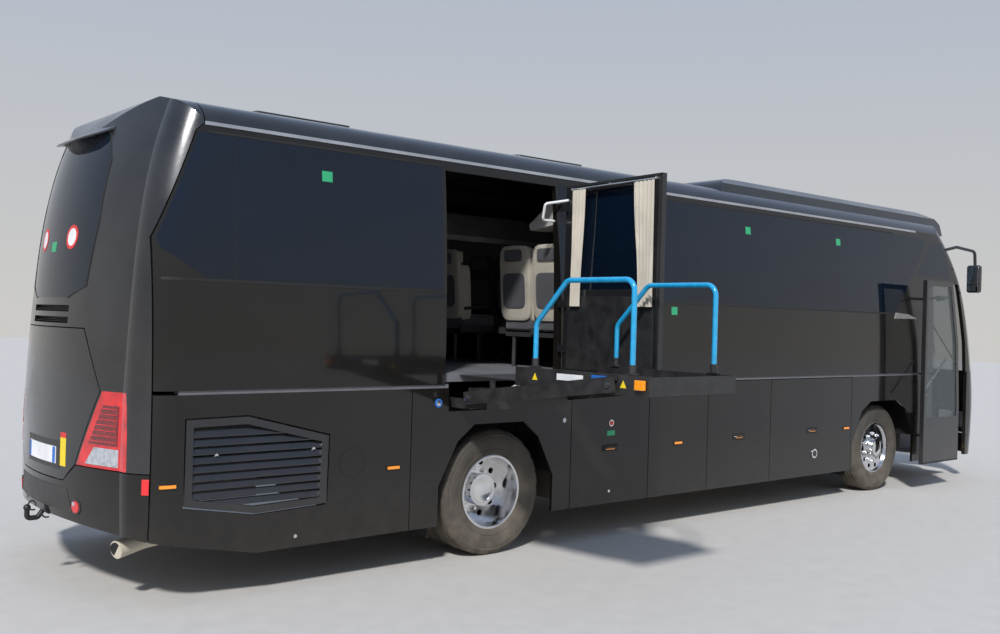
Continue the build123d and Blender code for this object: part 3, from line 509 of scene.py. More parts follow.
def side_fittings():
    """Filler cap, fuel flap, locks and door button on the right side."""
    fuel_x, fuel_z, fuel_r = -1.40, 0.865, 0.104
    round_piece("fuel_flap_seam", "rubber_black", "black_paint", fuel_x, fuel_z, fuel_r + 0.008, 0.001,
                r_in=fuel_r + 0.002)
    round_piece("fuel_flap", "dark_paint", "dark_paint", fuel_x, fuel_z, fuel_r, 0.003, bevel=0.001)
    body = "luggage_hatch_right_2"
    cap_x, cap_z = 4.58, 0.55
    round_piece("filler_cap", "chrome", "silver_trim", cap_x, cap_z, 0.052, 0.012, body, bevel=0.002)
    round_piece("filler_cap_centre", "lift_black", "lift_black", cap_x, cap_z, 0.034, 0.016, body,
                bevel=0.002)
    locks = Shape()
    for u, v in ((-1.85, 0.38), (-2.45, 0.98), (-1.72, 0.98), (MIDDLE_DOOR_X, 0.42)):
        locks.disc("right", u, v, 0.013, 0.004)
    locks.make("locks_right", "chrome", slot="silver_trim")
    button_x, button_z, button_r = 1.32, 1.03, 0.020
    round_piece("door_release_button", "red_mark", "red_lamp", button_x, button_z, button_r, 0.009,
                bevel=0.001)
    round_piece("door_release_ring", "chrome", "silver_trim", button_x, button_z, button_r + 0.010, 0.005,
                r_in=button_r)
    plate = Shape().patch("right", quad(button_x, button_z - 0.09, 0.10, 0.045), PLATE_THICK, 3, 2)
    plate.make("door_release_plate", "green_mark", slot="trim_plastic")


def window_marks():
    """Blank green exit plates and the light trims at the front corners of the side glass."""
    plate_w, plate_h = 0.085, 0.075
    trim = [(6.26, 2.075), (6.80, 2.085), (6.60, 2.135), (6.30, 2.150)]
    for side in ("right", "left"):
        plates = Shape()
        for u, v in ((-1.64, 2.92), (3.35, 2.92), (5.05, 2.92), (2.16, 2.06)):
            plates.patch(side, quad(u, v, plate_w, plate_h), PLATE_THICK, 3, 2)
        plates.make("exit_plates_" + side, "green_mark", slot="trim_plastic")
        name = "glass_corner_trim_" + side
        Shape().patch(side, trim, 0.003, 6, 2).make(name, "silver_trim", slot="silver_trim")


def belt_lines():
    """Rubber seals along the belt and over the window band."""
    cells, upper_start = 40, 0.30
    for side in ("right", "left"):
        seals = Shape()
        spans = [(GLASS_REAR_X, GLASS_FRONT_X)]
        if side == "right":
            spans = [(GLASS_REAR_X, DOORWAY_X[0]), (DOORWAY_X[1], GLASS_FRONT_X)]
        for a, b in spans:
            for start, (low, high) in ((a, BELT_Z), (a + upper_start, UPPER_SEAL_Z)):
                seals.patch(side, [(start, low), (b, low), (b, high), (start, high)], 0.003, cells, 1)
        seals.make("window_seals_" + side, "rubber_black", slot="black_paint")


# rear end
VISOR_HALF, VISOR_Z, VISOR_REACH, VISOR_FALL = 0.50, 3.175, 0.13, 0.075
VISOR_STEPS, VISOR_ROUND = 24, 0.6
SIGN_Y, SIGN_Z, SIGN_R, SIGN_RIM = 0.29, 2.42, 0.062, 0.023
PANE_EDGE = [(-0.330, 2.000), (-0.560, 2.080), (-0.606, 2.500), (-0.585, 2.950), (-0.470, 3.150)]
PANE_SEAL_WIDEN, PANE_SEAL_FALL = 1.022, 0.006
PLATE_Y, PLATE_Z, PLATE_W, PLATE_H = -0.07, 0.920, 0.52, 0.115
STRIP_Y, STRIP_W = -0.425, 0.075
FOG_Y, FOG_Z = 0.60, 0.60


def rear_visor():
    """Curved visor over the rear window."""
    root_up, root_down, lip = 0.022, 0.02, 0.012
    rings = []
    for k in range(VISOR_STEPS + 1):
        y = -VISOR_HALF + 2 * VISOR_HALF * k / VISOR_STEPS
        bulge = max(0.0, 1 - (y / VISOR_HALF) ** 2) ** VISOR_ROUND
        root = drop("rear", y, VISOR_Z)
        tip = root + Vector((-VISOR_REACH * bulge - 0.004, 0, -VISOR_FALL * bulge - 0.004))
        upper, lower = root + Vector((0.01, 0, root_up)), root + Vector((0.01, 0, -root_down))
        rings.append([upper, tip + Vector((0, 0, lip)), tip, lower])
    Shape().rings(rings).make("rear_visor", "graphite_paint", smooth=True, slot="graphite_paint")


def rear_window_parts():
    """Two blank round plates and an exit plate on the rear window, and the window's seal."""
    pane = ["rear_window"]
    for y, tag in ((-SIGN_Y, ""), (SIGN_Y, "_l")):
        round_piece("round_plate_rim" + tag, "red_mark", "red_lamp", y, SIGN_Z, SIGN_R + SIGN_RIM, 0.002,
                    r_in=SIGN_R, side="rear", nodes=pane)
        round_piece("round_plate" + tag, "plate_white", "white_paint", y, SIGN_Z, SIGN_R, 0.0018,
                    side="rear", nodes=pane)
    plate = Shape().patch("rear", quad(0.02, 2.36, 0.10, 0.07), 0.0015, 2, 2, pane)
    plate.make("rear_exit_plate", "green_mark", slot="trim_plastic")
    seal = Shape()
    for m in (1, -1):
        for (y0, z0), (y1, z1) in zip(PANE_EDGE, PANE_EDGE[1:]):
            outer_0, outer_1 = y0 * m * PANE_SEAL_WIDEN, y1 * m * PANE_SEAL_WIDEN
            corners = [(y0 * m, z0), (y1 * m, z1), (outer_1, z1), (outer_0, z0 - PANE_SEAL_FALL)]
            seal.patch("rear", corners, 0.004, 8, 1)
    seal.make("rear_window_seal", "rubber_black", slot="black_paint")


def rear_vents():
    """Dark backing and blades of the two air slots under the rear window."""
    back = Shape().box(-3.075, -3.065, -0.37, 0.37, 1.82, 1.95)
    back.make("rear_slot_backing", "rubber_black", slot="black_paint")
    blades = Shape()
    half, pitch, thick = 0.365, 0.012, 0.003
    for z in (1.925, 1.845):
        for k in range(3):
            low = z - pitch + pitch * k
            blades.box(-3.13 + 0.01 * k, -3.08, -half, half, low, low + thick)
    blades.make("rear_slot_blades", "lift_black", slot="lift_black")


def rear_plates():
    """Blank number plate in its recess, blank warning strip, and fog lamps."""
    body = "engine_hatch"
    recess = Shape().patch("rear", quad(PLATE_Y, PLATE_Z + 0.005, PLATE_W + 0.10, 0.19), 0.002, 12, 3)
    recess.make("plate_recess", "lift_black", body, slot="lift_black")
    blank = Shape().patch("rear", quad(PLATE_Y, PLATE_Z, PLATE_W, PLATE_H), 0.008, 12, 3)
    blank.make("plate_blank", "plate_white", body, bevel=0.001, slot="white_paint")
    ends = Shape()
    for s in (1, -1):
        ends.patch("rear", quad(PLATE_Y + s * 0.238, PLATE_Z, 0.040, PLATE_H - 0.005), 0.0092, 2, 2)
    ends.make("plate_ends", "blue_mark", body, slot="rail_blue")
    strip = Shape().patch("rear", quad(STRIP_Y, 0.955, STRIP_W, 0.20), 0.0015, 2, 4)
    strip.make("warning_strip", "yellow_mark", body, slot="trim_plastic")
    top = Shape().patch("rear", quad(STRIP_Y, 1.065, STRIP_W, 0.035), 0.0016, 2, 1)
    top.make("warning_strip_top", "red_mark", body, slot="red_lamp")
    for m, tag in ((1, "left"), (-1, "right")):
        y = FOG_Y * m
        round_piece("fog_lamp_rim_" + tag, "lift_black", "lift_black", y, FOG_Z, 0.055, 0.006, bevel=0.001,
                    side="rear")
        round_piece("fog_lamp_" + tag, "red_lamp", "red_lamp", y, FOG_Z, 0.040, 0.010, bevel=0.001,
                    side="rear")
        round_piece("fog_lamp_dot_" + tag, "clear_lamp", "clear_lamp", 0.585 * m, FOG_Z + 0.02, 0.014, 0.013,
                    side="rear")


def tail_lamp_parts():
    """Clear reversing part, deep red inner lens and bright ribs of each tail lamp."""
    on = ["tail_lamps"]
    outer_y, rib_low, rib_pitch, rib_h, rib_count = 0.99, 1.06, 0.036, 0.006, 7
    for m, tag in ((-1, "right"), (1, "left")):
        clear = [(0.700 * m, 0.905), (1.010 * m, 0.905), (1.010 * m, 1.020), (0.790 * m, 1.020)]
        lens = Shape().patch("rear", clear, 0.004, 10, 4, on)
        lens.make("reversing_lens_" + tag, "clear_lamp", slot="clear_lamp")
        deep = [(0.730 * m, 1.040), (1.000 * m, 1.040), (1.000 * m, 1.300), (0.860 * m, 1.300)]
        Shape().patch("rear", deep, 0.003, 10, 6, on).make("inner_lens_" + tag, "red_deep", slot="red_lamp")
        ribs = Shape()
        for k in range(rib_count):
            z = rib_low + rib_pitch * k
            inner_y = 0.745 + 0.018 * k
            corners = [(inner_y * m, z), (outer_y * m, z), (outer_y * m, z + rib_h), (inner_y * m, z + rib_h)]
            ribs.patch("rear", corners, 0.006, 8, 1, on)
        ribs.make("lens_ribs_" + tag, "red_lamp", slot="red_lamp")


def rear_underside():
    """Dark recess of the bumper, tail pipe, socket and safety eyes beside the hitch."""
    corners = [(-0.55, 0.555), (0.55, 0.555), (0.48, 0.715), (-0.48, 0.715)]
    recess = Shape().patch("rear", corners, 0.003, 16, 3)
    recess.make("hitch_recess", "lift_black", slot="lift_black")
    route = [(-2.30, -0.80, 0.42), (-2.75, -0.84, 0.38), (-2.96, -0.90, 0.35)]
    pipe = Shape().tube(route, [0.055, 0.055, 0.060], 20)
    pipe.make("tail_pipe", "pipe_cream", smooth=True, slot="cast_grey")
    bore = Shape().tube([(-2.955, -0.899, 0.351), (-2.9605, -0.9015, 0.3495)], 0.050, 20)
    bore.make("tail_pipe_bore", "rubber_black", slot="black_paint")
    eye = Shape()
    eye_x, eye_y, eye_z, eye_r, bar_r = -3.175, 0.16, 0.50, 0.035, 0.006
    for m in (1, -1):
        angles = [math.pi * k / 8 for k in range(-1, 10)]
        ring = [(eye_x - eye_r * math.sin(a), eye_y * m, eye_z + eye_r * math.cos(a)) for a in angles]
        eye.tube(ring, bar_r, 8)
    eye.make("safety_eyes", "hitch_black", smooth=True, slot="hitch_black")
    socket = Shape().box(-3.175, -3.145, 0.24, 0.32, 0.53, 0.60)
    socket.make("trailer_socket", "lift_black", bevel=0.008, slot="lift_black")


# front end
GRILLE_HALF, GRILLE_LOW, GRILLE_PITCH, GRILLE_BAR, GRILLE_BARS = 0.62, 0.98, 0.05, 0.022, 6
LAMP_PLACES, LAMP_Z, LAMP_RING, LAMP_CORE = (0.80, 0.98), 0.745, 0.075, 0.055
FRONT_LOW_Z = 0.44


def front_parts():
    """Grille bars, blank plate, lower grille and the destination box."""
    bars = Shape()
    for k in range(GRILLE_BARS):
        z = GRILLE_LOW + GRILLE_PITCH * k
        y, top = GRILLE_HALF, z + GRILLE_BAR
        bars.patch("front", [(-y, z), (y, z), (y, top), (-y, top)], 0.006, 20, 1)
    bars.make("grille_bars", "lift_black", bevel=0.002, slot="lift_black")
    plate = Shape().patch("front", quad(0, FRONT_LOW_Z, PLATE_W, PLATE_H), 0.008, 10, 3)
    plate.make("front_plate_blank", "plate_white", bevel=0.001, slot="white_paint")
    lower = Shape().patch("front", [(-0.60, 0.66), (0.60, 0.66), (0.60, 0.80), (-0.60, 0.80)], 0.003, 20, 3)
    lower.make("lower_grille", "rubber_black", slot="black_paint")
    blind = Shape().box(7.62, 7.66, -0.62, 0.62, 2.86, 3.08)
    blind.make("destination_box", "rubber_black", bevel=0.004, slot="black_paint")


def front_lamps():
    """Chrome rings and dark cores of the headlamps, fog lamps and wipers."""
    on = ["headlamps"]
    for m, tag in ((-1, "right"), (1, "left")):
        rings = Shape()
        cores = Shape()
        for y in LAMP_PLACES:
            rings.disc("front", y * m, LAMP_Z, LAMP_RING, 0.004, r_in=LAMP_CORE, nodes=on)
            cores.disc("front", y * m, LAMP_Z, LAMP_CORE, 0.006, nodes=on)
        rings.make("lamp_rings_" + tag, "chrome", slot="silver_trim")
        cores.make("lamp_cores_" + tag, "lamp_dark", slot="clear_lamp")
        round_piece("front_fog_" + tag, "clear_lamp", "clear_lamp", 0.86 * m, FRONT_LOW_Z, 0.05, 0.006,
                    side="front")
        wiper(m, tag)


def wiper(m, tag):
    """Wiper arm and blade resting on the windscreen."""
    arm_steps, blade_steps, arm_off, blade_off = 8, 10, 0.035, 0.012
    arm, blade = [], []
    for k in range(arm_steps + 1):
        s = k / arm_steps
        x, y, z = own(drop("front", (0.95 - 0.45 * s) * m, 1.45 + 0.75 * s))
        arm.append((x + arm_off, y, z))
    for k in range(blade_steps + 1):
        s = k / blade_steps
        x, y, z = own(drop("front", (0.62 - 0.10 * s) * m, 1.62 + 0.95 * s))
        blade.append((x + blade_off, y, z))
    Shape().tube(arm, 0.009, 8).make("wiper_arm_" + tag, "lift_black", smooth=True, slot="lift_black")
    Shape().tube(blade, 0.008, 6).make("wiper_blade_" + tag, "rubber_black", smooth=True, slot="black_paint")


# roof
HATCH_PLACES, HATCH_HALF_X, HATCH_HALF_Y, HATCH_RISE = (-1.35, 1.35), 0.42, 0.36, 0.045
SLAT_STARTS, SLAT_COUNT, SLAT_PITCH, SLAT_WIDE, SLAT_HALF = (4.25, 5.75), 10, 0.075, 0.035, 0.55


def roof_parts():
    """Roof hatches and the slatted intakes of the roof unit."""
    for i, u in enumerate(HATCH_PLACES):
        x0, x1, y = u - HATCH_HALF_X, u + HATCH_HALF_X, HATCH_HALF_Y
        corners = [(x0, -y), (x1, -y), (x1, y), (x0, y)]
        hatch = Shape().patch("top", corners, HATCH_RISE, 8, 8, ["roof_panel"])
        name = "roof_hatch_%d" % (i + 1)
        hatch.make(name, "graphite_paint", bevel=0.012, slot="graphite_paint", segments=3)
    slats = Shape()
    for u in SLAT_STARTS:
        for k in range(SLAT_COUNT):
            x0 = u + SLAT_PITCH * k
            x1, y = x0 + SLAT_WIDE, SLAT_HALF
            slats.patch("top", [(x0, -y), (x1, -y), (x1, y), (x0, y)], 0.008, 1, 14, ["roof_fairing"])
    slats.make("roof_unit_slats", "rubber_black", bevel=0.002, slot="black_paint")


# wheels
AXLE_Z = 0.515
TYRE_R = 0.515
FRONT_AXLE_X, REAR_AXLE_X = 6.060, 0.0
WHEELS = [
    ("front_tyre_right", "front_wheel_right", FRONT_AXLE_X, [-1.040]),
    ("front_tyre_left", "front_wheel_left", FRONT_AXLE_X, [1.040]),
    ("rear_tyres_right", "rear_wheels_right", REAR_AXLE_X, [-1.075, -0.730]),
    ("rear_tyres_left", "rear_wheels_left", REAR_AXLE_X, [1.075, 0.730]),
]
TYRE_SEGMENTS = 120
GROOVE_PLACES = (-0.072, -0.026, 0.026, 0.072)
GROOVE_TOP, GROOVE_FOOT, GROOVE_DEPTH = 0.0065, 0.004, 0.011
TREAD_HALF, TREAD_ROUND = 0.104, 0.002
SHOULDER_POINTS = (9, 10, 11, 28, 29, 30)
SHOULDER_STEP, SHOULDER_DEPTH = 5, 0.009
NUT_COUNT, NUT_CIRCLE_R = 10, 0.1675
# Places of the disc face, the hub's end and the rim lip's inner, crest, outer and back edges
FRONT_FACES = (1.136, 1.190, (1.1545, 1.160, 1.158, 1.140))
REAR_FACES = (0.9625, 1.080, (1.190, 1.195, 1.193, 1.175))
LIP_RADII = (0.284, 0.300, 0.306, 0.300)


def tyre_profile(yc):
    """Closed section of a tyre: bead, side wall with rings, and a tread with four grooves."""
    side = [(0.300, -0.1175), (0.330, -0.134), (0.352, -0.139), (0.356, -0.136), (0.366, -0.1405),
            (0.415, -0.1475), (0.455, -0.1455), (0.460, -0.142), (0.470, -0.1435), (0.496, -0.128),
            (0.5105, -0.112)]
    tread = [(TYRE_R - TREAD_ROUND, -TREAD_HALF)]
    for y in GROOVE_PLACES:
        foot = TYRE_R - GROOVE_DEPTH
        tread += [(TYRE_R, y - GROOVE_TOP), (foot, y - GROOVE_FOOT), (foot, y + GROOVE_FOOT),
                  (TYRE_R, y + GROOVE_TOP)]
    tread += [(TYRE_R - TREAD_ROUND, TREAD_HALF)]
    points = side + tread + [(r, -y) for r, y in reversed(side)]
    return [(r, yc + y) for r, y in points]


def tread_wave(k, i):
    """Draws in every fifth stretch of the tread's shoulders, as its cross grooves."""
    return SHOULDER_DEPTH if i in SHOULDER_POINTS and k % SHOULDER_STEP == 0 else 0.0


def wheels():
    """Tyres with grooves in place of the plain CAD tyres, and each wheel's bright parts."""
    for node, body, x, tracks in WHEELS:
        rubber = Shape()
        for yc in tracks:
            rubber.lathe(x, AXLE_Z, tyre_profile(yc), TYRE_SEGMENTS, tread_wave)
        tyre = rubber.make(node + "_grooved", "tyre_rubber", body, smooth=True, slot="tyre_rubber")
        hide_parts(node)
        m = -1 if tracks[0] < 0 else 1
        face, hub_end, lip = FRONT_FACES if x == FRONT_AXLE_X else REAR_FACES
        wheel_nuts(body, x, m, face)
        wheel_trims(body, x, m, hub_end, lip)


def wheel_nuts(body, x, m, face):
    """Ten nuts on collars."""
    nuts, collars = Shape(), Shape()
    way = Vector((0, m, 0))
    for k in range(NUT_COUNT):
        a = turn(k + 0.5, NUT_COUNT)
        c = at(x + NUT_CIRCLE_R * math.cos(a), m * face, AXLE_Z + NUT_CIRCLE_R * math.sin(a))
        nuts.bolt(c, way, 0.0175, 0.030)
        collars.bolt(c, way, 0.023, 0.006, 16)
    nuts.make("wheel_nuts_" + body, "chrome", body, bevel=0.002, slot="silver_trim")
    collars.make("nut_collars_" + body, "polished_rim", body, slot="polished_rim")


def wheel_trims(body, x, m, hub_end, lip):
    """Hub cap and rolled rim edge."""
    steps = [(0.001, 0.012), (0.060, 0.010), (0.098, 0.002), (0.104, -0.02), (0.001, -0.02)]
    cap = Shape().lathe(x, AXLE_Z, [(r, m * (hub_end + dy)) for r, dy in steps], 40)
    cap.make("hub_cap_" + body, "chrome", body, smooth=True, slot="silver_trim")
    edge = Shape().lathe(x, AXLE_Z, [(r, m * y) for r, y in zip(LIP_RADII, lip)], 72)
    edge.make("rim_lip_" + body, "polished_rim", body, smooth=True, slot="polished_rim")


def both_sides(shape, m, x0, x1, y_in, y_out, z0, z1):
    """Box on one side of the centre plane, given as on the left."""
    return shape.box(x0, x1, min(y_in * m, y_out * m), max(y_in * m, y_out * m), z0, z1)


def mud_flaps():
    """Rubber flaps behind the wheels."""
    flaps = Shape()
    for m in (-1, 1):
        both_sides(flaps, m, 5.312, 5.324, 0.72, 1.22, 0.24, 0.70)
        both_sides(flaps, m, -0.668, -0.656, 0.60, 1.22, 0.22, 0.66)
    flaps.make("mud_flaps", "rubber_black", bevel=0.003, slot="black_paint")


# seats
CREAM_ROW_X = 0.800
COMMON_ROWS = (CREAM_ROW_X, 1.620, 2.440, 3.260, 4.080, 4.900, 5.720)
SEAT_ROWS = {
    "right": ((-2.350, -1.550) + COMMON_ROWS, -0.745),
    "left": ((-2.350, -1.550, -0.750, 0.050) + COMMON_ROWS, 0.745),
}
SEAT_OFFSET = 0.225
BACK_LEAN, PAD_LEAN = 0.07, 0.05
SEAT_FLOOR_Z, SEAT_BEAM_Z = 1.50, 1.80
DRIVER_Y = 0.62


def pillow(centre, half, lean=0.0, power=0.34, n=18, m=12):
    """Rounded cushion form about a centre: half sizes along x, y, z, leaned about y."""
    def ease(c):
        return math.copysign(abs(c) ** power, c)
    rings = []
    for j in range(m + 1):
        v = -math.pi / 2 + math.pi * j / m
        ring = []
        for i in range(n):
            u = turn(i, n)
            x = half[0] * ease(math.cos(v)) * ease(math.cos(u))
            y = half[1] * ease(math.cos(v)) * ease(math.sin(u))
            z = half[2] * ease(math.sin(v))
            leaned = (x * math.cos(lean) - z * math.sin(lean), y, x * math.sin(lean) + z * math.cos(lean))
            ring.append(centre + Vector(leaned))
        rings.append(ring)
    return rings


def seat_pair(name, x, y_mid, cream):
    """Two seats side by side: cushions, backs with side bolsters, head rests, frame and back shells."""
    main, trim = Shape(), Shape()
    for y in (y_mid - SEAT_OFFSET, y_mid + SEAT_OFFSET):
        main.rings(pillow(at(x + 0.255, y, 1.905), (0.235, 0.205, 0.065), PAD_LEAN))
        main.rings(pillow(at(x + 0.062, y, 2.215), (0.062, 0.150, 0.300), BACK_LEAN))
        for s in (-1, 1):
            trim.rings(pillow(at(x + 0.078, y + s * 0.172, 2.190), (0.062, 0.042, 0.270), BACK_LEAN))
        trim.rings(pillow(at(x + 0.036, y, 2.540), (0.050, 0.150, 0.062), BACK_LEAN))
    pads = main.make(name + "_pads", "seat_dark", smooth=True, slot="seat_fabric")
    bolster_mat = "seat_cream" if cream else "seat_dark"
    bolsters = trim.make(name + "_bolsters", bolster_mat, smooth=True, slot="seat_fabric")
    seat_frame(name, x, y_mid)
    seat_shells(name, x, y_mid, cream)
    return pads


def seat_frame(name, x, y_mid):
    """Side bars, arm rests, legs and cross beams under a seat pair."""
    frames = Shape()
    for y in (y_mid - 0.445, y_mid, y_mid + 0.445):
        frames.box(x, x + 0.45, y - 0.012, y + 0.012, 1.80, 1.86)
        frames.tube([(x + 0.05, y, 2.03), (x + 0.36, y, 2.06)], 0.016, 8)
    for leg_x in (x + 0.06, x + 0.36):
        for leg_y in (y_mid - 0.30, y_mid + 0.30):
            frames.tube([(leg_x, leg_y, SEAT_FLOOR_Z), (leg_x, leg_y, SEAT_BEAM_Z)], 0.018, 8)
        frames.box(leg_x - 0.02, leg_x + 0.02, y_mid - 0.40, y_mid + 0.40, 1.78, 1.82)
    frames.make(name + "_frame", "dash_plastic", slot="dash_plastic")


def seat_shells(name, x, y_mid, cream):
    """Back shells with dark centre panels."""
    shells, centres = Shape(), Shape()
    for y in (y_mid - SEAT_OFFSET, y_mid + SEAT_OFFSET):
        shells.rings(pillow(at(x - 0.002, y, 2.270), (0.026, 0.208, 0.345), BACK_LEAN))
        centres.rings(pillow(at(x - 0.024, y, 2.200), (0.010, 0.150, 0.160), BACK_LEAN))
        centres.rings(pillow(at(x - 0.052, y, 2.520), (0.010, 0.120, 0.055), BACK_LEAN))
    shell_mat = "seat_cream" if cream else "dash_plastic"
    shells.make(name + "_shells", shell_mat, smooth=True, slot="dash_plastic")
    centres.make(name + "_centres", "seat_dark", smooth=True, slot="seat_fabric")


def seats():
    """Padded seats in place of the plain CAD seat solids."""
    first = None
    for tag, (rows, y) in SEAT_ROWS.items():
        for k, x in enumerate(rows):
            pads = seat_pair("seat_%s_%d" % (tag, k + 1), x, y, x == CREAM_ROW_X)
            first = first or pads
    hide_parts("passenger_seats")


def driver_seat():
    """Padded driver's seat in place of the plain CAD solid, on its base."""
    lean = 0.09
    driver = Shape()
    driver.rings(pillow(at(7.42, DRIVER_Y, 1.39), (0.235, 0.220, 0.070), PAD_LEAN))
    driver.rings(pillow(at(7.19, DRIVER_Y, 1.78), (0.065, 0.215, 0.330), lean))
    driver.rings(pillow(at(7.13, DRIVER_Y, 2.13), (0.050, 0.130, 0.050), lean))
    seat = driver.make("driver_seat_pads", "seat_dark", smooth=True, slot="seat_fabric")
    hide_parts("driver_seat")
    base = Shape().box(7.25, 7.58, DRIVER_Y - 0.15, DRIVER_Y + 0.15, 0.95, 1.04)
    base.box(7.32, 7.52, DRIVER_Y - 0.10, DRIVER_Y + 0.10, 1.04, 1.33)
    base.make("driver_seat_base", "lift_black", bevel=0.01, slot="lift_black")


# wheelchair door and its curtains
HINGE = (0.660, -1.300)
LEAF = (-0.1058, -0.9944)
LEAF_LEN = 1.181
LEAF_LOW, LEAF_HIGH = 1.482, 3.085
ROD_T, ROD_Z, ROD_R = -0.021, 3.045, 0.008
ROD_START, ROD_END = 0.10, LEAF_LEN - 0.05
CLOTH_TOP, CLOTH_FOOT, CLOTH_THICK = 3.035, 2.060, 0.0012
CLOTH_COLUMNS, CLOTH_ROWS = 64, 14
CLOTH_T, CLOTH_WAVE, WAVE_GROWTH, CLOTH_NARROWING = -0.028, 0.014, 0.25, 0.30


def along(s, t, z):
    """Place on the open leaf: s along it, t towards its outer face."""
    return at(HINGE[0] + s * LEAF[0] - t * LEAF[1], HINGE[1] + s * LEAF[1] + t * LEAF[0], z)


def curtain(name, s0, s1, pleats):
    """Pleated curtain hung inside the open leaf, drawn towards the leaf's edge at its foot."""
    still = s0 if s0 < LEAF_LEN / 2 else s1
    outer, inner = [], []
    for j in range(CLOTH_ROWS + 1):
        g = j / CLOTH_ROWS
        z = CLOTH_TOP + (CLOTH_FOOT - CLOTH_TOP) * g
        squeeze = 1 - CLOTH_NARROWING * math.sin(math.pi * g * 0.5) ** 2
        for i in range(CLOTH_COLUMNS + 1):
            p = i / CLOTH_COLUMNS
            s = still + (s0 + (s1 - s0) * p - still) * squeeze
            swing = CLOTH_WAVE * (1 + WAVE_GROWTH * g) * math.sin(2 * math.pi * pleats * p + 0.5 * g)
            outer.append(along(s, CLOTH_T + swing + CLOTH_THICK, z))
            inner.append(along(s, CLOTH_T + swing, z))
    cloth = Shape().slab(outer, inner, CLOTH_COLUMNS, CLOTH_ROWS)
    cloth = cloth.make(name, "curtain_fabric", smooth=True, slot="curtain_fabric")
    return cloth


def curtains():
    """Two cream curtains on a rod in place of the plain CAD solids."""
    rod = Shape().tube([own(along(s, ROD_T, ROD_Z)) for s in (ROD_START, ROD_END)], ROD_R, 10)
    for s in (ROD_START, LEAF_LEN / 2, ROD_END):
        rod.leaf_box(s - 0.01, s + 0.01, ROD_T - 0.003, 0.0, ROD_Z - 0.005, ROD_Z + 0.015)
    rod.make("curtain_rod", "silver_trim", slot="silver_trim")
    first = curtain("curtain_hinge_side", 0.120, 0.290, 4)
    curtain("curtain_free_side", LEAF_LEN - 0.290, LEAF_LEN - 0.060, 5)
    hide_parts("door_curtains")


def leaf_parts():
    """Rubber edge and inner lining of the wheelchair door."""
    edge_w, t_in, t_out = 0.018, -0.006, 0.002
    edge = Shape()
    edge.leaf_box(0.0, LEAF_LEN, t_in, t_out, LEAF_LOW, LEAF_LOW + edge_w)
    edge.leaf_box(0.0, LEAF_LEN, t_in, t_out, LEAF_HIGH - edge_w, LEAF_HIGH)
    edge.leaf_box(LEAF_LEN - edge_w, LEAF_LEN, t_in, t_out, LEAF_LOW, LEAF_HIGH)
    edge.make("leaf_rubber_edge", "rubber_black", slot="black_paint")
    lining = Shape().leaf_box(0.06, LEAF_LEN - 0.06, -0.008, 0.001, 1.53, 2.14)
    lining.make("leaf_lining", "lift_black", bevel=0.003, slot="lift_black")


# lift
DECK_SIDE_X = 0.4475
RAIL_X = 0.425
MARK_PLACES, MARK_LOW, MARK_SIZE = (-3.06, -2.20), 1.505, 0.055
RAIL_FEET = (-2.15, -3.09)
PIN_PLACES = ((-1.470, 1.320), (-2.947, 1.520))


def deck_marks():
    """Yellow triangles on both sides of the deck."""
    marks = Shape()
    for s in (-1, 1):
        x = s * DECK_SIDE_X
        for y in MARK_PLACES:
            tip = (x, y + MARK_SIZE / 2, MARK_LOW + 0.05)
            p = [(x, y, MARK_LOW), (x, y + MARK_SIZE, MARK_LOW), tip]
            q = [(x + s * PLATE_THICK, a[1], a[2]) for a in p]
            faces = [(0, 1, 2), (5, 4, 3), (0, 3, 4, 1), (1, 4, 5, 2), (2, 5, 3, 0)]
            marks.add([at(*a) for a in p + q], faces)
    marks.make("hazard_marks", "yellow_mark", "lift_deck", slot="trim_plastic")


def lift_parts():
    """Deck and bridge coverings, corner lamps, rail feet, blank labels, bridge stay and pin caps."""
    deck = "lift_deck"
    grip = Shape().box(-0.410, 0.410, -3.240, -1.970, 1.480, 1.4825)
    grip.make("deck_grip", "grip_deck", deck, slot="lift_black")
    grip = Shape().box(-0.390, 0.390, -1.930, -1.260, 1.484, 1.4862)
    grip.make("bridge_grip", "grip_deck", slot="lift_black")
    for name, x0, x1 in (("deck_corner_lamp", -0.475, -0.452), ("deck_corner_lamp_front", 0.452, 0.475)):
        lamp = Shape().box(x0, x1, -3.235, -3.150, 1.500, 1.565)
        lamp.make(name, "orange_lamp", deck, bevel=0.006, slot="clear_lamp", segments=3)
    feet = Shape()
    for x in (-RAIL_X, RAIL_X):
        for y in RAIL_FEET:
            feet.box(x - 0.021, x + 0.021, y - 0.045, y + 0.045, 1.590, 1.604)
            feet.tube([(x, y, 1.60), (x, y, 1.66)], 0.026, 14)
    feet.make("rail_feet", "lift_black", deck, bevel=0.003, slot="lift_black")
    plate = Shape().box(-0.4485, -0.4470, -2.88, -2.74, 1.510, 1.575)
    plate.make("deck_blank_plate", "blue_mark", deck, slot="rail_blue")
    label = Shape().box(-0.4485, -0.4470, -2.66, -2.40, 1.520, 1.565)
    label.make("deck_blank_label", "plate_white", deck, slot="white_paint")
    rod = Shape().tube([(-0.40, -1.60, 1.32), (-0.40, -1.95, 1.455)], 0.012, 12)
    rod.make("bridge_stay", "white_paint", smooth=True, slot="white_paint")
    caps = Shape()
    for s in (-1, 1):
        for y, z in PIN_PLACES:
            caps.tube([(s * 0.5112, y, z), (s * 0.5152, y, z)], 0.022, 18)
    caps.make("arm_pin_caps", "chrome", slot="silver_trim")


# doors, mirrors and cab
STEP_EDGES = ((-1.150, 0.400), (-0.870, 0.660), (-0.600, 0.900))


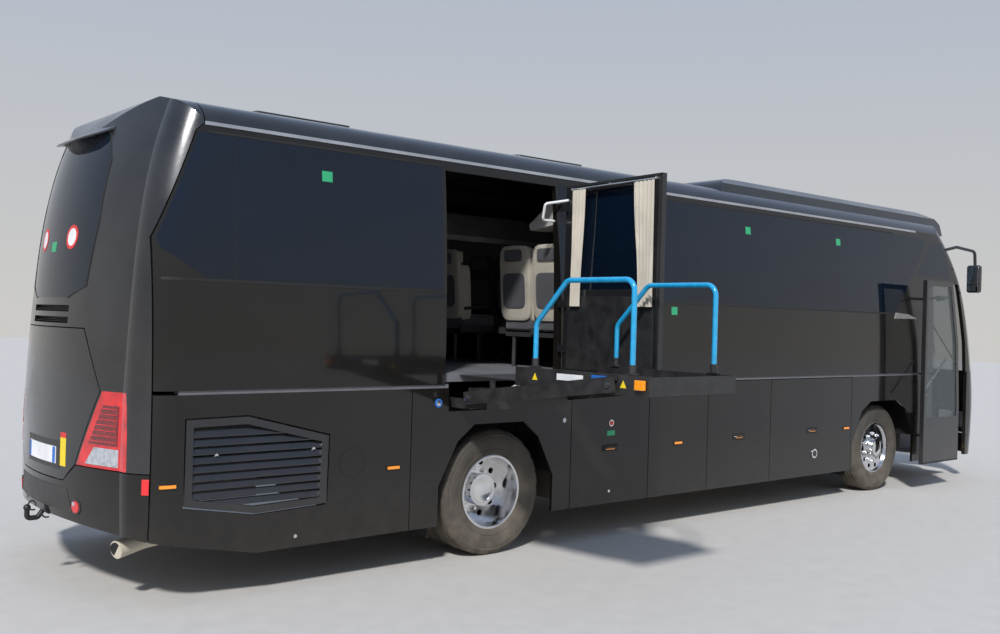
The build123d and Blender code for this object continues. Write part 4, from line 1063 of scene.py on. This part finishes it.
def door_parts():
    """Grab rail and rubber edge on the entrance leaf, yellow nosings on the steps, and a grab post."""
    door = "entrance_door"
    skin_y, rail_y = -1.508, -1.475
    route = [(6.62, skin_y, 1.15), (6.62, rail_y, 1.20), (7.10, rail_y, 1.55), (7.10, skin_y, 1.60)]
    rail = Shape().tube(route, 0.014, 10)
    rail.make("door_grab_rail", "silver_trim", door, smooth=True, slot="silver_trim")
    edge = Shape().box(6.450, 6.462, -1.567, -1.564, 0.335, 2.545)
    edge.box(6.450, 7.345, -1.567, -1.564, 0.335, 0.350)
    edge.make("door_rubber_edge", "rubber_black", door, slot="black_paint")
    nose = Shape()
    for y, z in STEP_EDGES:
        nose.box(7.25, 8.10, y - 0.002, y + 0.03, z - 0.025, z + 0.003)
    nose.make("step_nosings", "yellow_mark", bevel=0.001, slot="trim_plastic")
    post = Shape().tube([(7.22, -0.42, 0.95), (7.22, -0.42, 1.75), (7.05, -0.42, 1.90)], 0.016, 12)
    post.make("cab_grab_post", "silver_trim", smooth=True, slot="silver_trim")


def mirror_parts():
    """Mirror faces on the rear sides of the heads."""
    x0, x1, y_in, y_out = 8.1700, 8.1735, 1.238, 1.384
    for m, tag in ((-1, "right"), (1, "left")):
        face = Shape()
        for z0, z1 in ((2.575, 2.805), (2.485, 2.560)):
            both_sides(face, m, x0, x1, y_in, y_out, z0, z1)
        face.make("mirror_faces_" + tag, "mirror_face", bevel=0.001, slot="silver_trim")


def cab_parts():
    """Instrument hood and tray on the dashboard."""
    hood = Shape().box(8.03, 8.20, 0.42, 0.82, 1.49, 1.53)
    hood.make("instrument_hood", "dash_plastic", bevel=0.012, slot="dash_plastic", segments=3)
    tray = Shape().box(8.10, 8.16, -0.30, 0.10, 1.485, 1.50)
    tray.make("dash_tray", "rubber_black", bevel=0.004, slot="black_paint")


# stage, lights and camera
CAM_PLACE = at(-5.443, -7.627, 1.935)
CAM_YAW = math.radians(40.444)
CAM_PITCH = math.radians(0.116)
CAM_ROLL = math.radians(1.624)
FOCAL_PX = 1025.9
IMAGE_W = 1000.0
SENSOR = 36.0
CLIP_END = 200.0
FLOOR_HALF = 60.0
FLOOR_COLOR = (0.56, 0.53, 0.49)
SUN_ENERGY = 3.4
SUN_ANGLE = math.radians(5)
SUN_WAY = Vector((0.55, 0.50, -0.67))
SKY_HIGH = (0.42, 0.55, 0.80)
SKY_LOW = (0.80, 0.79, 0.76)
SKY_STRENGTH, SKY_TURN = 0.75, 0.6


def make_camera():
    """Camera at the photograph's place, with its axes built from yaw, pitch and roll."""
    level = Vector((math.sin(CAM_YAW), math.cos(CAM_YAW), 0.0))
    ahead = level * math.cos(CAM_PITCH) + Vector((0, 0, math.sin(CAM_PITCH)))
    side = Vector((math.cos(CAM_YAW), -math.sin(CAM_YAW), 0.0))
    up = side.cross(ahead)
    x_axis = side * math.cos(CAM_ROLL) + up * math.sin(CAM_ROLL)
    y_axis = up * math.cos(CAM_ROLL) - side * math.sin(CAM_ROLL)
    data = bpy.data.cameras.new("camera")
    data.sensor_width = SENSOR
    data.lens = FOCAL_PX / IMAGE_W * SENSOR
    data.clip_end = CLIP_END
    cam = bpy.data.objects.new("camera", data)
    bpy.context.scene.collection.objects.link(cam)
    place = Matrix((x_axis, y_axis, -ahead)).transposed().to_4x4()
    place.translation = CAM_PLACE
    cam.matrix_world = place
    bpy.context.scene.camera = cam


def make_floor():
    """Pale floor under the coach."""
    finish_mat("floor_pale", FLOOR_COLOR, 0.85, vary=0.03, scale=6.0)
    mesh = bpy.data.meshes.new("floor")
    s = FLOOR_HALF
    mesh.from_pydata([(-s, -s, 0), (s, -s, 0), (s, s, 0), (-s, s, 0)], [], [(0, 1, 2, 3)])
    mesh.materials.append(MATS["floor_pale"])
    floor = bpy.data.objects.new("floor", mesh)
    bpy.context.scene.collection.objects.link(floor)


def make_lights():
    """Pale sky that deepens upwards, and one soft sun."""
    world = bpy.data.worlds.new("studio")
    bpy.context.scene.world = world
    world.use_nodes = True
    tree = world.node_tree
    coords = tree.nodes.new("ShaderNodeTexCoord")
    split = tree.nodes.new("ShaderNodeSeparateXYZ")
    link(tree, coords.outputs["Generated"], split.inputs[0])
    sky = mixed(tree, ranged(tree, split.outputs["Z"], 0.0, 1.0, 0.0, SKY_TURN), SKY_LOW, SKY_HIGH)
    link(tree, sky, tree.nodes["Background"].inputs[0])
    tree.nodes["Background"].inputs[1].default_value = SKY_STRENGTH
    data = bpy.data.lights.new("sun", "SUN")
    data.energy = SUN_ENERGY
    data.angle = SUN_ANGLE
    sun = bpy.data.objects.new("sun", data)
    bpy.context.scene.collection.objects.link(sun)
    sun.rotation_mode = "QUATERNION"
    sun.rotation_quaternion = SUN_WAY.to_track_quat("-Z", "Y")


BODY_STEPS = (side_lamps, flap_handles, side_fittings, window_marks, belt_lines, rear_visor,
              rear_window_parts, rear_vents, rear_plates, tail_lamp_parts, rear_underside, front_parts,
              front_lamps, roof_parts)
OTHER_STEPS = (wheels, mud_flaps, seats, driver_seat, curtains, leaf_parts, deck_marks, lift_parts,
               door_parts, mirror_parts, cab_parts, make_camera, make_floor, make_lights)
for build in BODY_STEPS + OTHER_STEPS:
    build()
bpy.context.scene.view_settings.view_transform = "Standard"
